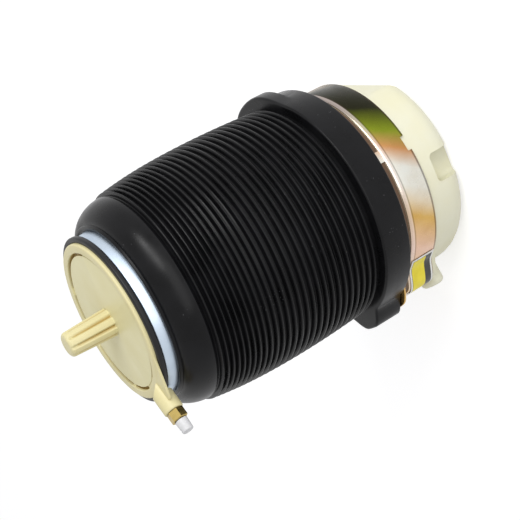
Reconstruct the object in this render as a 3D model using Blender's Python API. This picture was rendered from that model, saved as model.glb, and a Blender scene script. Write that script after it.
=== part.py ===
"""A rear air spring, upright on its piston, modelled in metres with +Z along the spring's axis.

The piston stands on the floor and the cap is on top. The air port points along -X.
Angles round the axis are in degrees from +X, seen from above.
"""

import math

import bmesh
import bpy

MM = 0.001
GAP = 0.3 * MM  # left between pieces that touch
RUNNING_GAP = 0.5 * MM  # left round what slides

# The whole spring
REST_LENGTH = 236.8 * MM  # floor to the seat under the cap's rim
GUIDE_RADIUS = 61.8 * MM  # outside of the guide tube: the other radii follow from it
PORT_ANGLE = 180.0
LOBE_ANGLE = 159.0  # the piston's lobe, the ring's lobe and the first ear line up

# Air sleeve, its clamp rings and the guide tube
SLEEVE_WALL = 2.0 * MM
FOLD_WIDTH = 12.8 * MM  # between the middles of the sleeve's two legs
FOLD_RISE = 6.0 * MM  # fold centre above the guide tube's lower end
BEAD_HEIGHT = 1.5 * MM  # under the cap's rim
BEAD_BULGE = 3.6 * MM  # past the cap
BEAD_LIP_RISE = 2.4 * MM  # the bead wraps the rim by this much
BEAD_ROUND = 1.0 * MM
CRIMP_WALL = 2.4 * MM
TOP_CRIMP_HEIGHT = 12.7 * MM
CRIMP_FLARE = 0.9 * MM
CRIMP_EDGE = 0.6 * MM
LOWER_CRIMP_HEIGHT = 8.0 * MM
GUIDE_WALL = 1.4 * MM
GUIDE_SWAGE = 3.2 * MM  # the tube is this much smaller where it holds the top crimp ring
GUIDE_GRIP = 5.2 * MM  # length of that smaller end
GUIDE_OVERLAP = 35.8 * MM  # the tube ends this far below the barrel's top
GUIDE_FLARE_HEIGHT = 8.0 * MM
GUIDE_END_FLARE = 0.8 * MM
GUIDE_END_HEIGHT = 2.0 * MM

# Piston: skirt, channel for the guide tube, and ribs
CHANNEL_OUTSIDE = 4.7 * MM  # room outside and inside the guide tube
CHANNEL_INSIDE = 2.9 * MM
CHANNEL_FLOOR = 32.0 * MM
SKIRT_WALL = 4.2 * MM
SKIRT_SEAT = 59.4 * MM  # height of the shoulder that carries the retaining ring
SPIGOT_STEP = 1.7 * MM  # the skirt is this much slimmer above the shoulder
SPIGOT_HEIGHT = 19.6 * MM
FOOT_ROUND = 14.0 * MM
FOOT_FLAT_ANGLE = 318.0  # the foot has one moulded flat, below a short ledge
FOOT_FLAT_DEPTH = 7.7 * MM
FOOT_FLAT_TOP = 27.0 * MM
FOOT_FLAT_LEDGE = 1.5 * MM
DECK_HEIGHT = 62.0 * MM
DECK_THICKNESS = 5.0 * MM
INNER_WALL = 4.5 * MM
RIB_COUNT = 12
RIB_THICKNESS = 3.0 * MM
HUB_RADIUS = 17.0 * MM
MIDDLE_RIB_RADIUS = 35.0 * MM
KEYWAY_ANGLE = 236.0
KEYWAY_WIDTH = 20.0 * MM
KEYWAY_HEIGHT = 22.0 * MM
KEYWAY_DEPTH = 12.0 * MM

# Lobe on the piston and on the ring round it, and the lug on the lobe
LOBE_REACH = 9.6 * MM
LOBE_CREST = 10.0  # degrees each side of its centre at full reach
LOBE_FOOT = 25.0  # degrees each side where it has faded out
LOBED_SEGMENTS = 72  # of the piston and the ring, so that their lobes match
LUG_REACH = 6.6 * MM  # further than the lobe
LUG_BOTTOM = 16.0 * MM
LUG_HEIGHT = 15.0 * MM
LUG_ROUND = 4.0 * MM
LUG_STRETCH = 1.35  # across, against its height
LUG_HOLE_RADIUS = 1.3 * MM

# Steel retaining ring and its label
SHEET = 1.4 * MM
FLANGE_REACH = 5.0 * MM  # past the band's outer face
SLOT_HEIGHT = 6.7 * MM
BAND_HEIGHT = 21.5 * MM
BAND_LIP = 1.0 * MM  # the band's top edge rolls in by this much
TAB_COUNT = 3
TAB_ANGLE = 255.0
TAB_WIDTH = 8.0 * MM
NOTCH_WIDTH = 10.5 * MM
NOTCH_DEPTH = 3.0 * MM
LABEL_START = 33  # in the lobed segments, so that the sheet lies on the ring's facets
LABEL_SEGMENTS = 5
LABEL_THICKNESS = 0.4 * MM
LABEL_MARGIN = 1.0 * MM

# Piston barrel, crown and bump stop
BARREL_WALL = 3.0 * MM
BARREL_HEIGHT = 92.7 * MM
CLAMP_STEP = 4.0 * MM  # the barrel is this much slimmer where the sleeve is clamped
CLAMP_HEIGHT = 11.0 * MM
LOCATING_RING_HEIGHT = 6.0 * MM
LOCATING_RING_WALL = 4.0 * MM
CROWN_THICKNESS = 3.0 * MM
CROWN_DEPTH = 9.0 * MM
CROWN_BOSS_WALL = 2.7 * MM
BUMP_STOP_RADIUS = 20.0 * MM
BUMP_STOP_HEIGHT = 22.0 * MM
BUMP_STOP_WAIST = 3.5 * MM
STUD_RADIUS = 4.0 * MM
STUD_HEAD_REACH = 3.5 * MM
STUD_HEAD_HEIGHT = 3.0 * MM

# Dust boot and the ring inside its collar
RIDGE_COUNT = 27
RIDGE_DEPTH = 3.3 * MM
TOP_PITCH_SHARE = 0.72  # the ridges crowd together near the cap
BOOT_WALL = 1.8 * MM
COLLAR_OVERHANG = 3.6 * MM  # past the ring's flange
COLLAR_WALL = 3.5 * MM
COLLAR_EDGE = 1.5 * MM
COLLAR_STEP = 4.0 * MM  # the last ridge lies inside the collar by this much
BOOT_BULGE = 1.7 * MM  # the middle ridges stand out past the last one
BOOT_TAPER = 3.0 * MM  # and the first lies inside it
SHOULDER_STEP = 2.0 * MM
SHOULDER_DROP = 18.8 * MM
SHOULDER_POWER = 1.7  # 2 would make it a quarter of an ellipse
BOOT_LIP_WIDTH = 3.2 * MM
BOOT_LIP_HEIGHT = 1.6 * MM
BOOT_LIP_GROOVE = 0.6 * MM
BOOT_LIP_RISE = 1.3 * MM  # above the guide tube
EAR_REACH = 9.0 * MM
EAR_CREST = 7.0
EAR_FOOT = 15.0
SECOND_EAR_ANGLE = 340.0  # wide and shallow, on the collar's upper half only
SECOND_EAR_REACH = 4.5 * MM
SECOND_EAR_CREST = 12.0
SECOND_EAR_FOOT = 35.0
SECOND_EAR_HEIGHT = 9.8 * MM
RETAINER_WALL = 1.8 * MM

# Cap
CAP_OVERHANG = 3.2 * MM  # of the rim past the neck
CAP_RIM_HEIGHT = 4.2 * MM
CAP_RIM_WIDTH = 6.0 * MM
CAP_RIM_ROUND = 1.0 * MM
CAP_EDGE = 0.6 * MM
CAP_FACE_DROP = 1.0 * MM
GROOVE_WIDTH = 1.7 * MM
GROOVE_DEPTH = 0.8 * MM
SLOT_ARCS = ((-42, 28), (35, 75), (81, 130), (134, 163), (184, 211), (216, 256))  # start and end, degrees
SLOT_DEPTH = 2.2 * MM
CEILING_THICKNESS = 7.0 * MM
NECK_WALL = 3.6 * MM
NECK_LENGTH = 15.2 * MM
PIN_LENGTH = 31.7 * MM
PIN_ROOT_RADIUS = 9.6 * MM
PIN_DRAFT = 1.4 * MM  # the tip is this much slimmer
PIN_RIBS = 8
PIN_GROOVE_DEPTH = 1.7 * MM
PIN_EDGE = 1.4 * MM

# Port boss, union and plug, along the port's own axis
PORT_RISE = 2.8 * MM  # port axis above the cap's seat
BOSS_LENGTH = 16.8 * MM  # past the cap
BOSS_ROOT = 2.2 * MM  # it starts this far inside the rim
BOSS_SLOPE = 43.0  # its top slopes up from the rim at this angle
BOSS_EDGE = 0.8 * MM
UNION_BORE_DEPTH = 12.2 * MM
UNION_BORE_RADIUS = 4.3 * MM
BOSS_WALL = 2.2 * MM
PASSAGE_RADIUS = 1.4 * MM
INLET_RADIUS = 0.7 * MM
INLET_DROP = 1.4 * MM  # below the port's axis
HEX_FLATS = 10.0 * MM
HEX_LENGTH = 6.4 * MM
HEX_CHAMFER = 0.5 * MM
TUBE_BORE_RADIUS = 2.3 * MM
SHANK_LENGTH = 10.5 * MM
COUNTERBORE_DEPTH = 5.0 * MM
SEAL_WIRE = 0.7 * MM
GRIP_RING_LENGTH = 2.2 * MM
GRIP_RING_BITE = 0.5 * MM
PLUG_LENGTH = 8.2 * MM
PLUG_RADIUS = 4.2 * MM
PLUG_TAPER = 0.4 * MM
PLUG_EDGE = 0.8 * MM
PLUG_STEM_LENGTH = 8.0 * MM

# Radii worked out from the guide tube's, inwards and outwards
GUIDE_LINE = GUIDE_RADIUS - GUIDE_WALL / 2
GUIDE_NECK = GUIDE_LINE - GUIDE_SWAGE
CRIMP_OUTER = GUIDE_NECK - GUIDE_WALL / 2 - GAP - CRIMP_FLARE
CRIMP_INNER = CRIMP_OUTER - CRIMP_WALL
NECK_RADIUS = CRIMP_INNER - GAP - SLEEVE_WALL - GAP
SLEEVE_NECK = NECK_RADIUS + GAP + SLEEVE_WALL / 2
CAP_RADIUS = NECK_RADIUS + CAP_OVERHANG
BEAD_LIP_INNER = CAP_RADIUS + RUNNING_GAP
BEAD_RADIUS = CAP_RADIUS + BEAD_BULGE
SLEEVE_OUTER_LINE = GUIDE_RADIUS - GUIDE_WALL - GAP - SLEEVE_WALL / 2
SLEEVE_INNER_LINE = SLEEVE_OUTER_LINE - FOLD_WIDTH
BARREL_RADIUS = SLEEVE_INNER_LINE - SLEEVE_WALL / 2 - GAP
CLAMP_RADIUS = BARREL_RADIUS - CLAMP_STEP
CLAMP_LINE = CLAMP_RADIUS + GAP + SLEEVE_WALL / 2
CHANNEL_OUTER = GUIDE_RADIUS + CHANNEL_OUTSIDE
CHANNEL_INNER = GUIDE_RADIUS - GUIDE_WALL - CHANNEL_INSIDE
SKIRT_RADIUS = CHANNEL_OUTER + SKIRT_WALL
SPIGOT_RADIUS = SKIRT_RADIUS - SPIGOT_STEP
BAND_INNER = SKIRT_RADIUS + GAP
BAND_OUTER = BAND_INNER + SHEET
LUG_RADIUS = SKIRT_RADIUS + LOBE_REACH + LUG_REACH
FOOT_FLAT = SKIRT_RADIUS - FOOT_FLAT_DEPTH
COLLAR_RADIUS = BAND_OUTER + FLANGE_REACH + COLLAR_OVERHANG
COLLAR_INNER = COLLAR_RADIUS - COLLAR_WALL
CREST_RADIUS_FOOT = COLLAR_RADIUS - COLLAR_STEP
CREST_RADIUS_MIDDLE = CREST_RADIUS_FOOT + BOOT_BULGE
CREST_RADIUS_TOP = CREST_RADIUS_FOOT - BOOT_TAPER
SHOULDER_RADIUS = CREST_RADIUS_TOP - SHOULDER_STEP
BOSS_START = CAP_RADIUS - BOSS_ROOT
BOSS_END = CAP_RADIUS + BOSS_LENGTH
BOSS_RADIUS = UNION_BORE_RADIUS + BOSS_WALL
SHANK_RADIUS = UNION_BORE_RADIUS - GAP
STEM_RADIUS = TUBE_BORE_RADIUS - RUNNING_GAP
UNION_SEAT = BOSS_END + GAP
UNION_END = UNION_SEAT + HEX_LENGTH
SEAL_PLACE = UNION_SEAT - SHANK_LENGTH / 2
TUBE_SEAL_RADIUS = TUBE_BORE_RADIUS + SEAL_WIRE
COUNTERBORE_RADIUS = TUBE_SEAL_RADIUS + SEAL_WIRE + GAP

# Heights worked out from the floor up and from the cap down
SKIRT_HEIGHT = SKIRT_SEAT + SPIGOT_HEIGHT
FLANGE_BOTTOM = SKIRT_SEAT + GAP
FLANGE_TOP = FLANGE_BOTTOM + SHEET
BAND_TOP = FLANGE_BOTTOM - SLOT_HEIGHT
BAND_BOTTOM = BAND_TOP - BAND_HEIGHT
BOOT_FOOT = FLANGE_TOP + GAP
COLLAR_TOP = SKIRT_HEIGHT + GAP + COLLAR_WALL
SECOND_EAR_BOTTOM = COLLAR_TOP - SECOND_EAR_HEIGHT
BARREL_BOTTOM = DECK_HEIGHT + GAP
BARREL_TOP = BARREL_BOTTOM + BARREL_HEIGHT
CLAMP_BOTTOM = BARREL_TOP - CLAMP_HEIGHT
CROWN_TOP = BARREL_TOP + GAP + CROWN_THICKNESS
BUMP_STOP_BOTTOM = CROWN_TOP + GAP
STUD_SEAT = BUMP_STOP_BOTTOM + BUMP_STOP_HEIGHT / 2
BEAD_TOP = REST_LENGTH - GAP
BEAD_LIP_TOP = BEAD_TOP + BEAD_LIP_RISE
CRIMP_TOP = BEAD_TOP - BEAD_HEIGHT - GAP
CRIMP_BOTTOM = CRIMP_TOP - TOP_CRIMP_HEIGHT
GUIDE_TOP = CRIMP_BOTTOM + GUIDE_GRIP
GUIDE_BOTTOM = BARREL_TOP - GUIDE_OVERLAP
BOOT_TOP = GUIDE_TOP + BOOT_LIP_RISE
CAP_TOP = REST_LENGTH + CAP_RIM_HEIGHT
CAP_FACE = CAP_TOP - CAP_FACE_DROP
CAP_CEILING = CAP_FACE - CEILING_THICKNESS
PORT_HEIGHT = REST_LENGTH + PORT_RISE


def look(name, colour, roughness, metallic=0.0):
    """One Principled BSDF material, made the first time it is asked for."""
    material = bpy.data.materials.get(name)
    if material is None:
        material = bpy.data.materials.new(name)
        material.use_nodes = True
        shader = material.node_tree.nodes["Principled BSDF"]
        shader.inputs["Base Color"].default_value = (*colour, 1.0)
        shader.inputs["Roughness"].default_value = roughness
        shader.inputs["Metallic"].default_value = metallic
    return material


def cream_nylon():
    return look("cream_nylon", (0.70, 0.65, 0.38), 0.45)


def black_rubber():
    return look("black_rubber", (0.012, 0.012, 0.013), 0.42)


def aluminium():
    return look("aluminium", (0.80, 0.82, 0.85), 0.35, 1.0)


def chromated_steel():
    return look("chromated_steel", (0.72, 0.55, 0.24), 0.3, 1.0)


def brass():
    return look("brass", (0.55, 0.42, 0.14), 0.35, 1.0)


def white_plastic():
    return look("white_plastic", (0.78, 0.78, 0.78), 0.4)


def foam_rubber():
    return look("foam_rubber", (0.30, 0.27, 0.18), 0.8)


def label_film():
    return look("label_film", (0.80, 0.74, 0.10), 0.5)


def placed(name, mesh, material, parent):
    """An object in the scene from a finished bmesh, shaded smooth with its sharp edges kept."""
    bmesh.ops.recalc_face_normals(mesh, faces=mesh.faces)
    data = bpy.data.meshes.new(name)
    mesh.to_mesh(data)
    mesh.free()
    data.shade_smooth()
    data.set_sharp_from_angle(angle=math.radians(32))
    data.materials.append(material)
    body = bpy.data.objects.new(name, data)
    bpy.context.scene.collection.objects.link(body)
    body.parent = parent
    return body


def frame(name, parent=None):
    """An empty on a joint's axis, for the pieces that move with it."""
    empty = bpy.data.objects.new(name, None)
    bpy.context.scene.collection.objects.link(empty)
    empty.parent = parent
    return empty


def turned(name, outline, segments, material, parent, bulge=None):
    """A body of revolution round Z from a closed outline of (radius, height) points.

    A point at radius 0 becomes a single pole. bulge(angle, radius, height) may move a point out.
    """
    mesh = bmesh.new()
    poles = {}
    columns = []
    for step in range(segments):
        angle = math.tau * step / segments
        column = []
        for place, (radius, height) in enumerate(outline):
            if radius == 0.0:
                if place not in poles:
                    poles[place] = mesh.verts.new((0.0, 0.0, height))
                column.append(poles[place])
                continue
            if bulge:
                radius = bulge(math.degrees(angle), radius, height)
            column.append(mesh.verts.new((radius * math.cos(angle), radius * math.sin(angle), height)))
        columns.append(column)
    for left, right in zip(columns, columns[1:] + columns[:1]):
        for place in range(len(outline)):
            following = (place + 1) % len(outline)
            corners = [left[place], right[place], right[following], left[following]]
            corners = list(dict.fromkeys(corners))
            if len(corners) > 2:
                mesh.faces.new(corners)
    return placed(name, mesh, material, parent)


def arc(centre_radius, centre_height, radius, start, end, steps):
    """Points of an arc in the (radius, height) plane, with angles in degrees from the radius direction."""
    points = []
    for step in range(steps + 1):
        angle = math.radians(start + (end - start) * step / steps)
        points.append((centre_radius + radius * math.cos(angle), centre_height + radius * math.sin(angle)))
    return points


def beside(path, distance):
    """The path moved sideways: outwards where it runs down and the distance is positive."""
    moved = []
    for place, (radius, height) in enumerate(path):
        before = path[max(place - 1, 0)]
        after = path[min(place + 1, len(path) - 1)]
        along = (after[0] - before[0], after[1] - before[1])
        length = math.hypot(*along)
        moved.append((radius - along[1] / length * distance, height + along[0] / length * distance))
    return moved


def thin_wall(path, thickness):
    """A closed outline of even thickness round a path that runs down."""
    return beside(path, thickness / 2) + beside(path, -thickness / 2)[::-1]


def fade(angle, centre, crest, foot):
    """1 near the centre angle, falling smoothly to 0 at foot degrees from it."""
    away = abs((angle - centre + 180.0) % 360.0 - 180.0)
    share = min(max((foot - away) / (foot - crest), 0.0), 1.0)
    return share * share * (3.0 - 2.0 * share)


def sector_blocks(name, sectors, parent, steps=3):
    """Closed blocks in one mesh, each between two radii, two angles and two heights, to cut with."""
    mesh = bmesh.new()
    for inner, outer, start, end, bottom, top in sectors:
        rings = []
        for height in (bottom, top):
            angles = [math.radians(start + (end - start) * step / steps) for step in range(steps + 1)]
            corners = [(outer, angle) for angle in angles]
            corners += [(inner, angle) for angle in reversed(angles)]
            rings.append([mesh.verts.new((r * math.cos(a), r * math.sin(a), height)) for r, a in corners])
        mesh.faces.new(rings[0][::-1])
        mesh.faces.new(rings[1])
        for place in range(len(rings[0])):
            following = (place + 1) % len(rings[0])
            mesh.faces.new((rings[0][place], rings[0][following], rings[1][following], rings[1][place]))
    return placed(name, mesh, label_film(), parent)


def joined(body, other, operation):
    """A Boolean modifier on body. The other body is left out of renders."""
    modifier = body.modifiers.new(other.name, "BOOLEAN")
    modifier.operation = operation
    modifier.object = other
    other.hide_render = True
    other.display_type = "WIRE"


def half_angle(width, radius):
    """Degrees each side of centre that a width takes at a radius."""
    return math.degrees(math.asin(width / 2 / radius))


def lobe(angle):
    return fade(angle, LOBE_ANGLE, LOBE_CREST, LOBE_FOOT)


def make_piston_base(parent):
    """Skirt with a rounded foot, an annular channel open at the top, a deck, ribs below and the lug."""

    flat_top = FOOT_FLAT_TOP + FOOT_FLAT_LEDGE

    def with_lobe_and_flat(angle, radius, height):
        turn = math.cos(math.radians(angle - FOOT_FLAT_ANGLE))
        if 0.0 < height < flat_top and turn > 0.0:
            radius = min(radius, (radius - FOOT_FLAT_DEPTH) / turn)
        if radius < SPIGOT_RADIUS + GAP:
            return radius
        rise = min(max((height - LUG_BOTTOM) / LUG_ROUND, 0.0), 1.0)
        return radius + LOBE_REACH * lobe(angle) * rise

    inner_face = CHANNEL_INNER - INNER_WALL
    ring_outer = BARREL_RADIUS - BARREL_WALL - GAP
    outline = [(0.0, 0.0)]
    outline += arc(SKIRT_RADIUS - FOOT_ROUND, FOOT_ROUND, FOOT_ROUND, -90, 0, 4)
    outline += [
        (SKIRT_RADIUS, LUG_BOTTOM),
        (SKIRT_RADIUS, LUG_BOTTOM + LUG_ROUND),
        (SKIRT_RADIUS, FOOT_FLAT_TOP),
        (SKIRT_RADIUS, flat_top),
        (SKIRT_RADIUS, SKIRT_SEAT),
        (SPIGOT_RADIUS, SKIRT_SEAT),
        (SPIGOT_RADIUS, SKIRT_HEIGHT),
        (CHANNEL_OUTER, SKIRT_HEIGHT),
        (CHANNEL_OUTER, CHANNEL_FLOOR),
        (CHANNEL_INNER, CHANNEL_FLOOR),
        (CHANNEL_INNER, DECK_HEIGHT),
        (ring_outer, DECK_HEIGHT),
        (ring_outer, DECK_HEIGHT + LOCATING_RING_HEIGHT),
        (ring_outer - LOCATING_RING_WALL, DECK_HEIGHT + LOCATING_RING_HEIGHT),
        (ring_outer - LOCATING_RING_WALL, DECK_HEIGHT),
        (0.0, DECK_HEIGHT),
    ]
    base = turned("piston_base", outline, LOBED_SEGMENTS, cream_nylon(), parent, with_lobe_and_flat)

    pocket_top = DECK_HEIGHT - DECK_THICKNESS
    pockets = []
    rows = (
        (HUB_RADIUS, MIDDLE_RIB_RADIUS - RIB_THICKNESS / 2, RIB_COUNT // 2),
        (MIDDLE_RIB_RADIUS + RIB_THICKNESS / 2, inner_face, RIB_COUNT),
    )
    for inner, outer, count in rows:
        side = half_angle(RIB_THICKNESS, (inner + outer) / 2)
        for place in range(count):
            start = 360.0 / count * place
            pockets.append((inner, outer, start + side, start + 360.0 / count - side, -MM, pocket_top))
    joined(base, sector_blocks("rib_pockets", pockets, parent), "DIFFERENCE")

    side = half_angle(KEYWAY_WIDTH, SKIRT_RADIUS)
    keyway = (
        SKIRT_RADIUS - KEYWAY_DEPTH,
        SKIRT_RADIUS + MM,
        KEYWAY_ANGLE - side,
        KEYWAY_ANGLE + side,
        -MM,
        KEYWAY_HEIGHT,
    )
    joined(base, sector_blocks("keyway_cutter", [keyway], parent), "DIFFERENCE")
    joined(base, make_lug(parent), "UNION")
    return base


def make_lug(parent):
    """The rounded lug on the lobe, below the retaining ring, with its small blind hole."""
    root = CHANNEL_OUTER + SKIRT_WALL / 2 + LOBE_REACH
    half = LUG_HEIGHT / 2
    outline = [(0.0, root), (half, root), (half, LUG_RADIUS - LUG_ROUND)]
    outline += arc(half - LUG_ROUND, LUG_RADIUS - LUG_ROUND, LUG_ROUND, 0, 90, 3)[1:]
    outline += [
        (LUG_HOLE_RADIUS, LUG_RADIUS),
        (LUG_HOLE_RADIUS, LUG_RADIUS - LUG_REACH / 2),
        (0.0, LUG_RADIUS - LUG_REACH / 2),
    ]
    lug = turned("piston_lug", outline, 20, cream_nylon(), parent)
    lug.rotation_euler = (0.0, math.radians(90), math.radians(LOBE_ANGLE))
    lug.location = (0.0, 0.0, LUG_BOTTOM + half)
    lug.scale = (1.0, LUG_STRETCH, 1.0)
    return lug


def make_retaining_ring(parent):
    """Sheet steel band and flange with a slot between them, bridged by tabs."""

    def with_lobe(angle, radius, height):
        return radius + LOBE_REACH * lobe(angle)

    flange_outer = BAND_OUTER + FLANGE_REACH
    flange_inner = SPIGOT_RADIUS + GAP
    outline = [
        (flange_inner, FLANGE_TOP),
        (flange_inner, FLANGE_BOTTOM),
        (BAND_INNER - BAND_LIP, FLANGE_BOTTOM),
        (BAND_INNER, FLANGE_BOTTOM),
        (BAND_INNER, BAND_BOTTOM),
        (BAND_OUTER, BAND_BOTTOM),
        (BAND_OUTER, FLANGE_BOTTOM),
        (flange_outer, FLANGE_BOTTOM),
        (flange_outer, FLANGE_TOP),
    ]

    def only_outside(angle, radius, height):
        return with_lobe(angle, radius, height) if radius > flange_inner + GAP else radius

    ring = turned("retaining_ring", outline, LOBED_SEGMENTS, chromated_steel(), parent, only_outside)

    cuts = []
    tab_side = half_angle(TAB_WIDTH, BAND_OUTER)
    notch_side = half_angle(NOTCH_WIDTH, BAND_OUTER)
    pitch = 360.0 / TAB_COUNT
    reach = BAND_OUTER + LOBE_REACH + FLANGE_REACH + MM
    within = BAND_INNER - BAND_LIP
    for place in range(TAB_COUNT):
        tab = TAB_ANGLE + pitch * place
        slot = (within, reach, tab + tab_side, tab + pitch - tab_side, BAND_TOP, FLANGE_BOTTOM)
        cuts.append(slot)
    joined(ring, sector_blocks("ring_slots", cuts, parent, 24), "DIFFERENCE")
    notches = []
    for place in range(TAB_COUNT):
        tab = TAB_ANGLE + pitch * place
        notch_top = BAND_BOTTOM + NOTCH_DEPTH
        notches.append((within, reach, tab - notch_side, tab + notch_side, BAND_BOTTOM - MM, notch_top))
    joined(ring, sector_blocks("ring_notches", notches, parent), "DIFFERENCE")
    return ring


def make_label(parent):
    """A bare label sheet on the flank of the ring's lobe."""
    mesh = bmesh.new()
    steps = LABEL_SEGMENTS
    grid = []
    for depth in (GAP, GAP + LABEL_THICKNESS):
        for height in (BAND_BOTTOM + LABEL_MARGIN, BAND_TOP - LABEL_MARGIN):
            row = []
            for step in range(steps + 1):
                degrees = (LABEL_START + step) * 360.0 / LOBED_SEGMENTS
                radius = BAND_OUTER + LOBE_REACH * lobe(degrees) + depth
                angle = math.radians(degrees)
                row.append(mesh.verts.new((radius * math.cos(angle), radius * math.sin(angle), height)))
            grid.append(row)
    inner_low, inner_high, outer_low, outer_high = grid
    faces = [(inner_low, inner_high), (outer_low, outer_high)]
    edges = [(inner_low, outer_low), (inner_high, outer_high)]
    for low, high in faces + edges:
        for step in range(steps):
            mesh.faces.new((low[step], low[step + 1], high[step + 1], high[step]))
    for step in (0, steps):
        mesh.faces.new((inner_low[step], outer_low[step], outer_high[step], inner_high[step]))
    return placed("label_sheet", mesh, label_film(), parent)


def make_boot_retainer(parent):
    """Channel-section snap ring between the piston's spigot and the boot's collar."""
    inner = SPIGOT_RADIUS + GAP
    outer = COLLAR_INNER - GAP
    bottom = FLANGE_TOP + GAP
    top = SKIRT_HEIGHT
    outline = [
        (inner, bottom),
        (inner + RETAINER_WALL, bottom),
        (inner + RETAINER_WALL, top - RETAINER_WALL),
        (outer - RETAINER_WALL, top - RETAINER_WALL),
        (outer - RETAINER_WALL, bottom),
        (outer, bottom),
        (outer, top),
        (inner, top),
    ]
    return turned("boot_retainer", outline, 40, black_rubber(), parent)


def make_barrel(parent):
    """The tube that the sleeve rolls on, slimmer at its top where the sleeve is clamped."""
    inner = BARREL_RADIUS - BARREL_WALL
    clamp_inner = CLAMP_RADIUS - BARREL_WALL
    outline = [
        (inner, BARREL_BOTTOM),
        (BARREL_RADIUS, BARREL_BOTTOM),
        (BARREL_RADIUS, CLAMP_BOTTOM - CLAMP_STEP),
        (CLAMP_RADIUS, CLAMP_BOTTOM),
        (CLAMP_RADIUS, BARREL_TOP),
        (clamp_inner, BARREL_TOP),
        (clamp_inner, CLAMP_BOTTOM),
        (inner, CLAMP_BOTTOM - CLAMP_STEP),
    ]
    return turned("piston_barrel", outline, 36, cream_nylon(), parent)


def make_crown(parent):
    """Lid of the barrel, with a rim that drops inside it and a bored boss for the stud."""
    spigot = CLAMP_RADIUS - BARREL_WALL - GAP
    bottom = BARREL_TOP - CROWN_DEPTH
    under = CROWN_TOP - CROWN_THICKNESS
    bore = STUD_RADIUS + GAP
    boss = bore + CROWN_BOSS_WALL
    outline = [
        (bore, CROWN_TOP),
        (bore, bottom),
        (boss, bottom),
        (boss, under),
        (spigot - CROWN_THICKNESS, under),
        (spigot - CROWN_THICKNESS, bottom),
        (spigot, bottom),
        (spigot, under),
        (CLAMP_RADIUS, under),
        (CLAMP_RADIUS, CROWN_TOP),
    ]
    return turned("piston_crown", outline, 36, cream_nylon(), parent)


def make_lower_crimp(parent):
    """Swaged ring that holds the sleeve on the barrel's neck."""
    inner = CLAMP_RADIUS + GAP + SLEEVE_WALL + GAP
    outer = inner + CRIMP_WALL
    top = BARREL_TOP - CRIMP_EDGE
    bottom = top - LOWER_CRIMP_HEIGHT
    outline = [(inner, bottom), (outer, bottom), (outer, top), (inner, top)]
    return turned("lower_crimp_ring", outline, 36, aluminium(), parent)


def make_bump_stop(parent):
    """Waisted foam buffer with a bore and a counterbore for the stud's head."""
    waist = BUMP_STOP_RADIUS - BUMP_STOP_WAIST
    bottom = BUMP_STOP_BOTTOM
    top = bottom + BUMP_STOP_HEIGHT
    bore = STUD_RADIUS + GAP
    recess = STUD_RADIUS + STUD_HEAD_REACH + RUNNING_GAP
    edge = BUMP_STOP_WAIST / 3
    outline = [
        (bore, bottom),
        (BUMP_STOP_RADIUS, bottom),
        (BUMP_STOP_RADIUS, bottom + BUMP_STOP_HEIGHT * 0.3),
        (waist, bottom + BUMP_STOP_HEIGHT * 0.45),
        (BUMP_STOP_RADIUS - edge, bottom + BUMP_STOP_HEIGHT * 0.62),
        (BUMP_STOP_RADIUS - edge, top - BUMP_STOP_WAIST),
        (waist, top),
        (recess, top),
        (recess, STUD_SEAT),
        (bore, STUD_SEAT),
    ]
    return turned("bump_stop", outline, 24, foam_rubber(), parent)


def make_stud(parent):
    """Headed stud that holds the bump stop on the crown."""
    seat = STUD_SEAT + GAP
    head = STUD_RADIUS + STUD_HEAD_REACH
    outline = [
        (0.0, BARREL_TOP - CROWN_DEPTH),
        (STUD_RADIUS, BARREL_TOP - CROWN_DEPTH),
        (STUD_RADIUS, seat),
        (head, seat),
        (head, seat + STUD_HEAD_HEIGHT / 2),
        (head / 2, seat + STUD_HEAD_HEIGHT),
        (0.0, seat + STUD_HEAD_HEIGHT),
    ]
    return turned("bump_stop_stud", outline, 16, chromated_steel(), parent)


def crest_radius(share):
    """Ridge radius along the boot: a gentle barrel through three set radii, from top (0) to foot (1)."""
    slope = -3 * CREST_RADIUS_TOP + 4 * CREST_RADIUS_MIDDLE - CREST_RADIUS_FOOT
    bend = 2 * CREST_RADIUS_TOP - 4 * CREST_RADIUS_MIDDLE + 2 * CREST_RADIUS_FOOT
    return CREST_RADIUS_TOP + slope * share + bend * share * share


def ridge_heights(top, bottom):
    """Heights of the ridge crests. The pitch grows from the top to the middle and is even below."""
    pitches = []
    for place in range(RIDGE_COUNT + 1):
        share = min(max((place - RIDGE_COUNT * 0.2) / (RIDGE_COUNT * 0.35), 0.0), 1.0)
        pitches.append(TOP_PITCH_SHARE + (1.0 - TOP_PITCH_SHARE) * share)
    unit = (top - bottom) / sum(pitches)
    heights = []
    height = top
    for pitch in pitches[:-1]:
        height -= pitch * unit
        heights.append(height)
    return heights, pitches[-1] * unit


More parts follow.
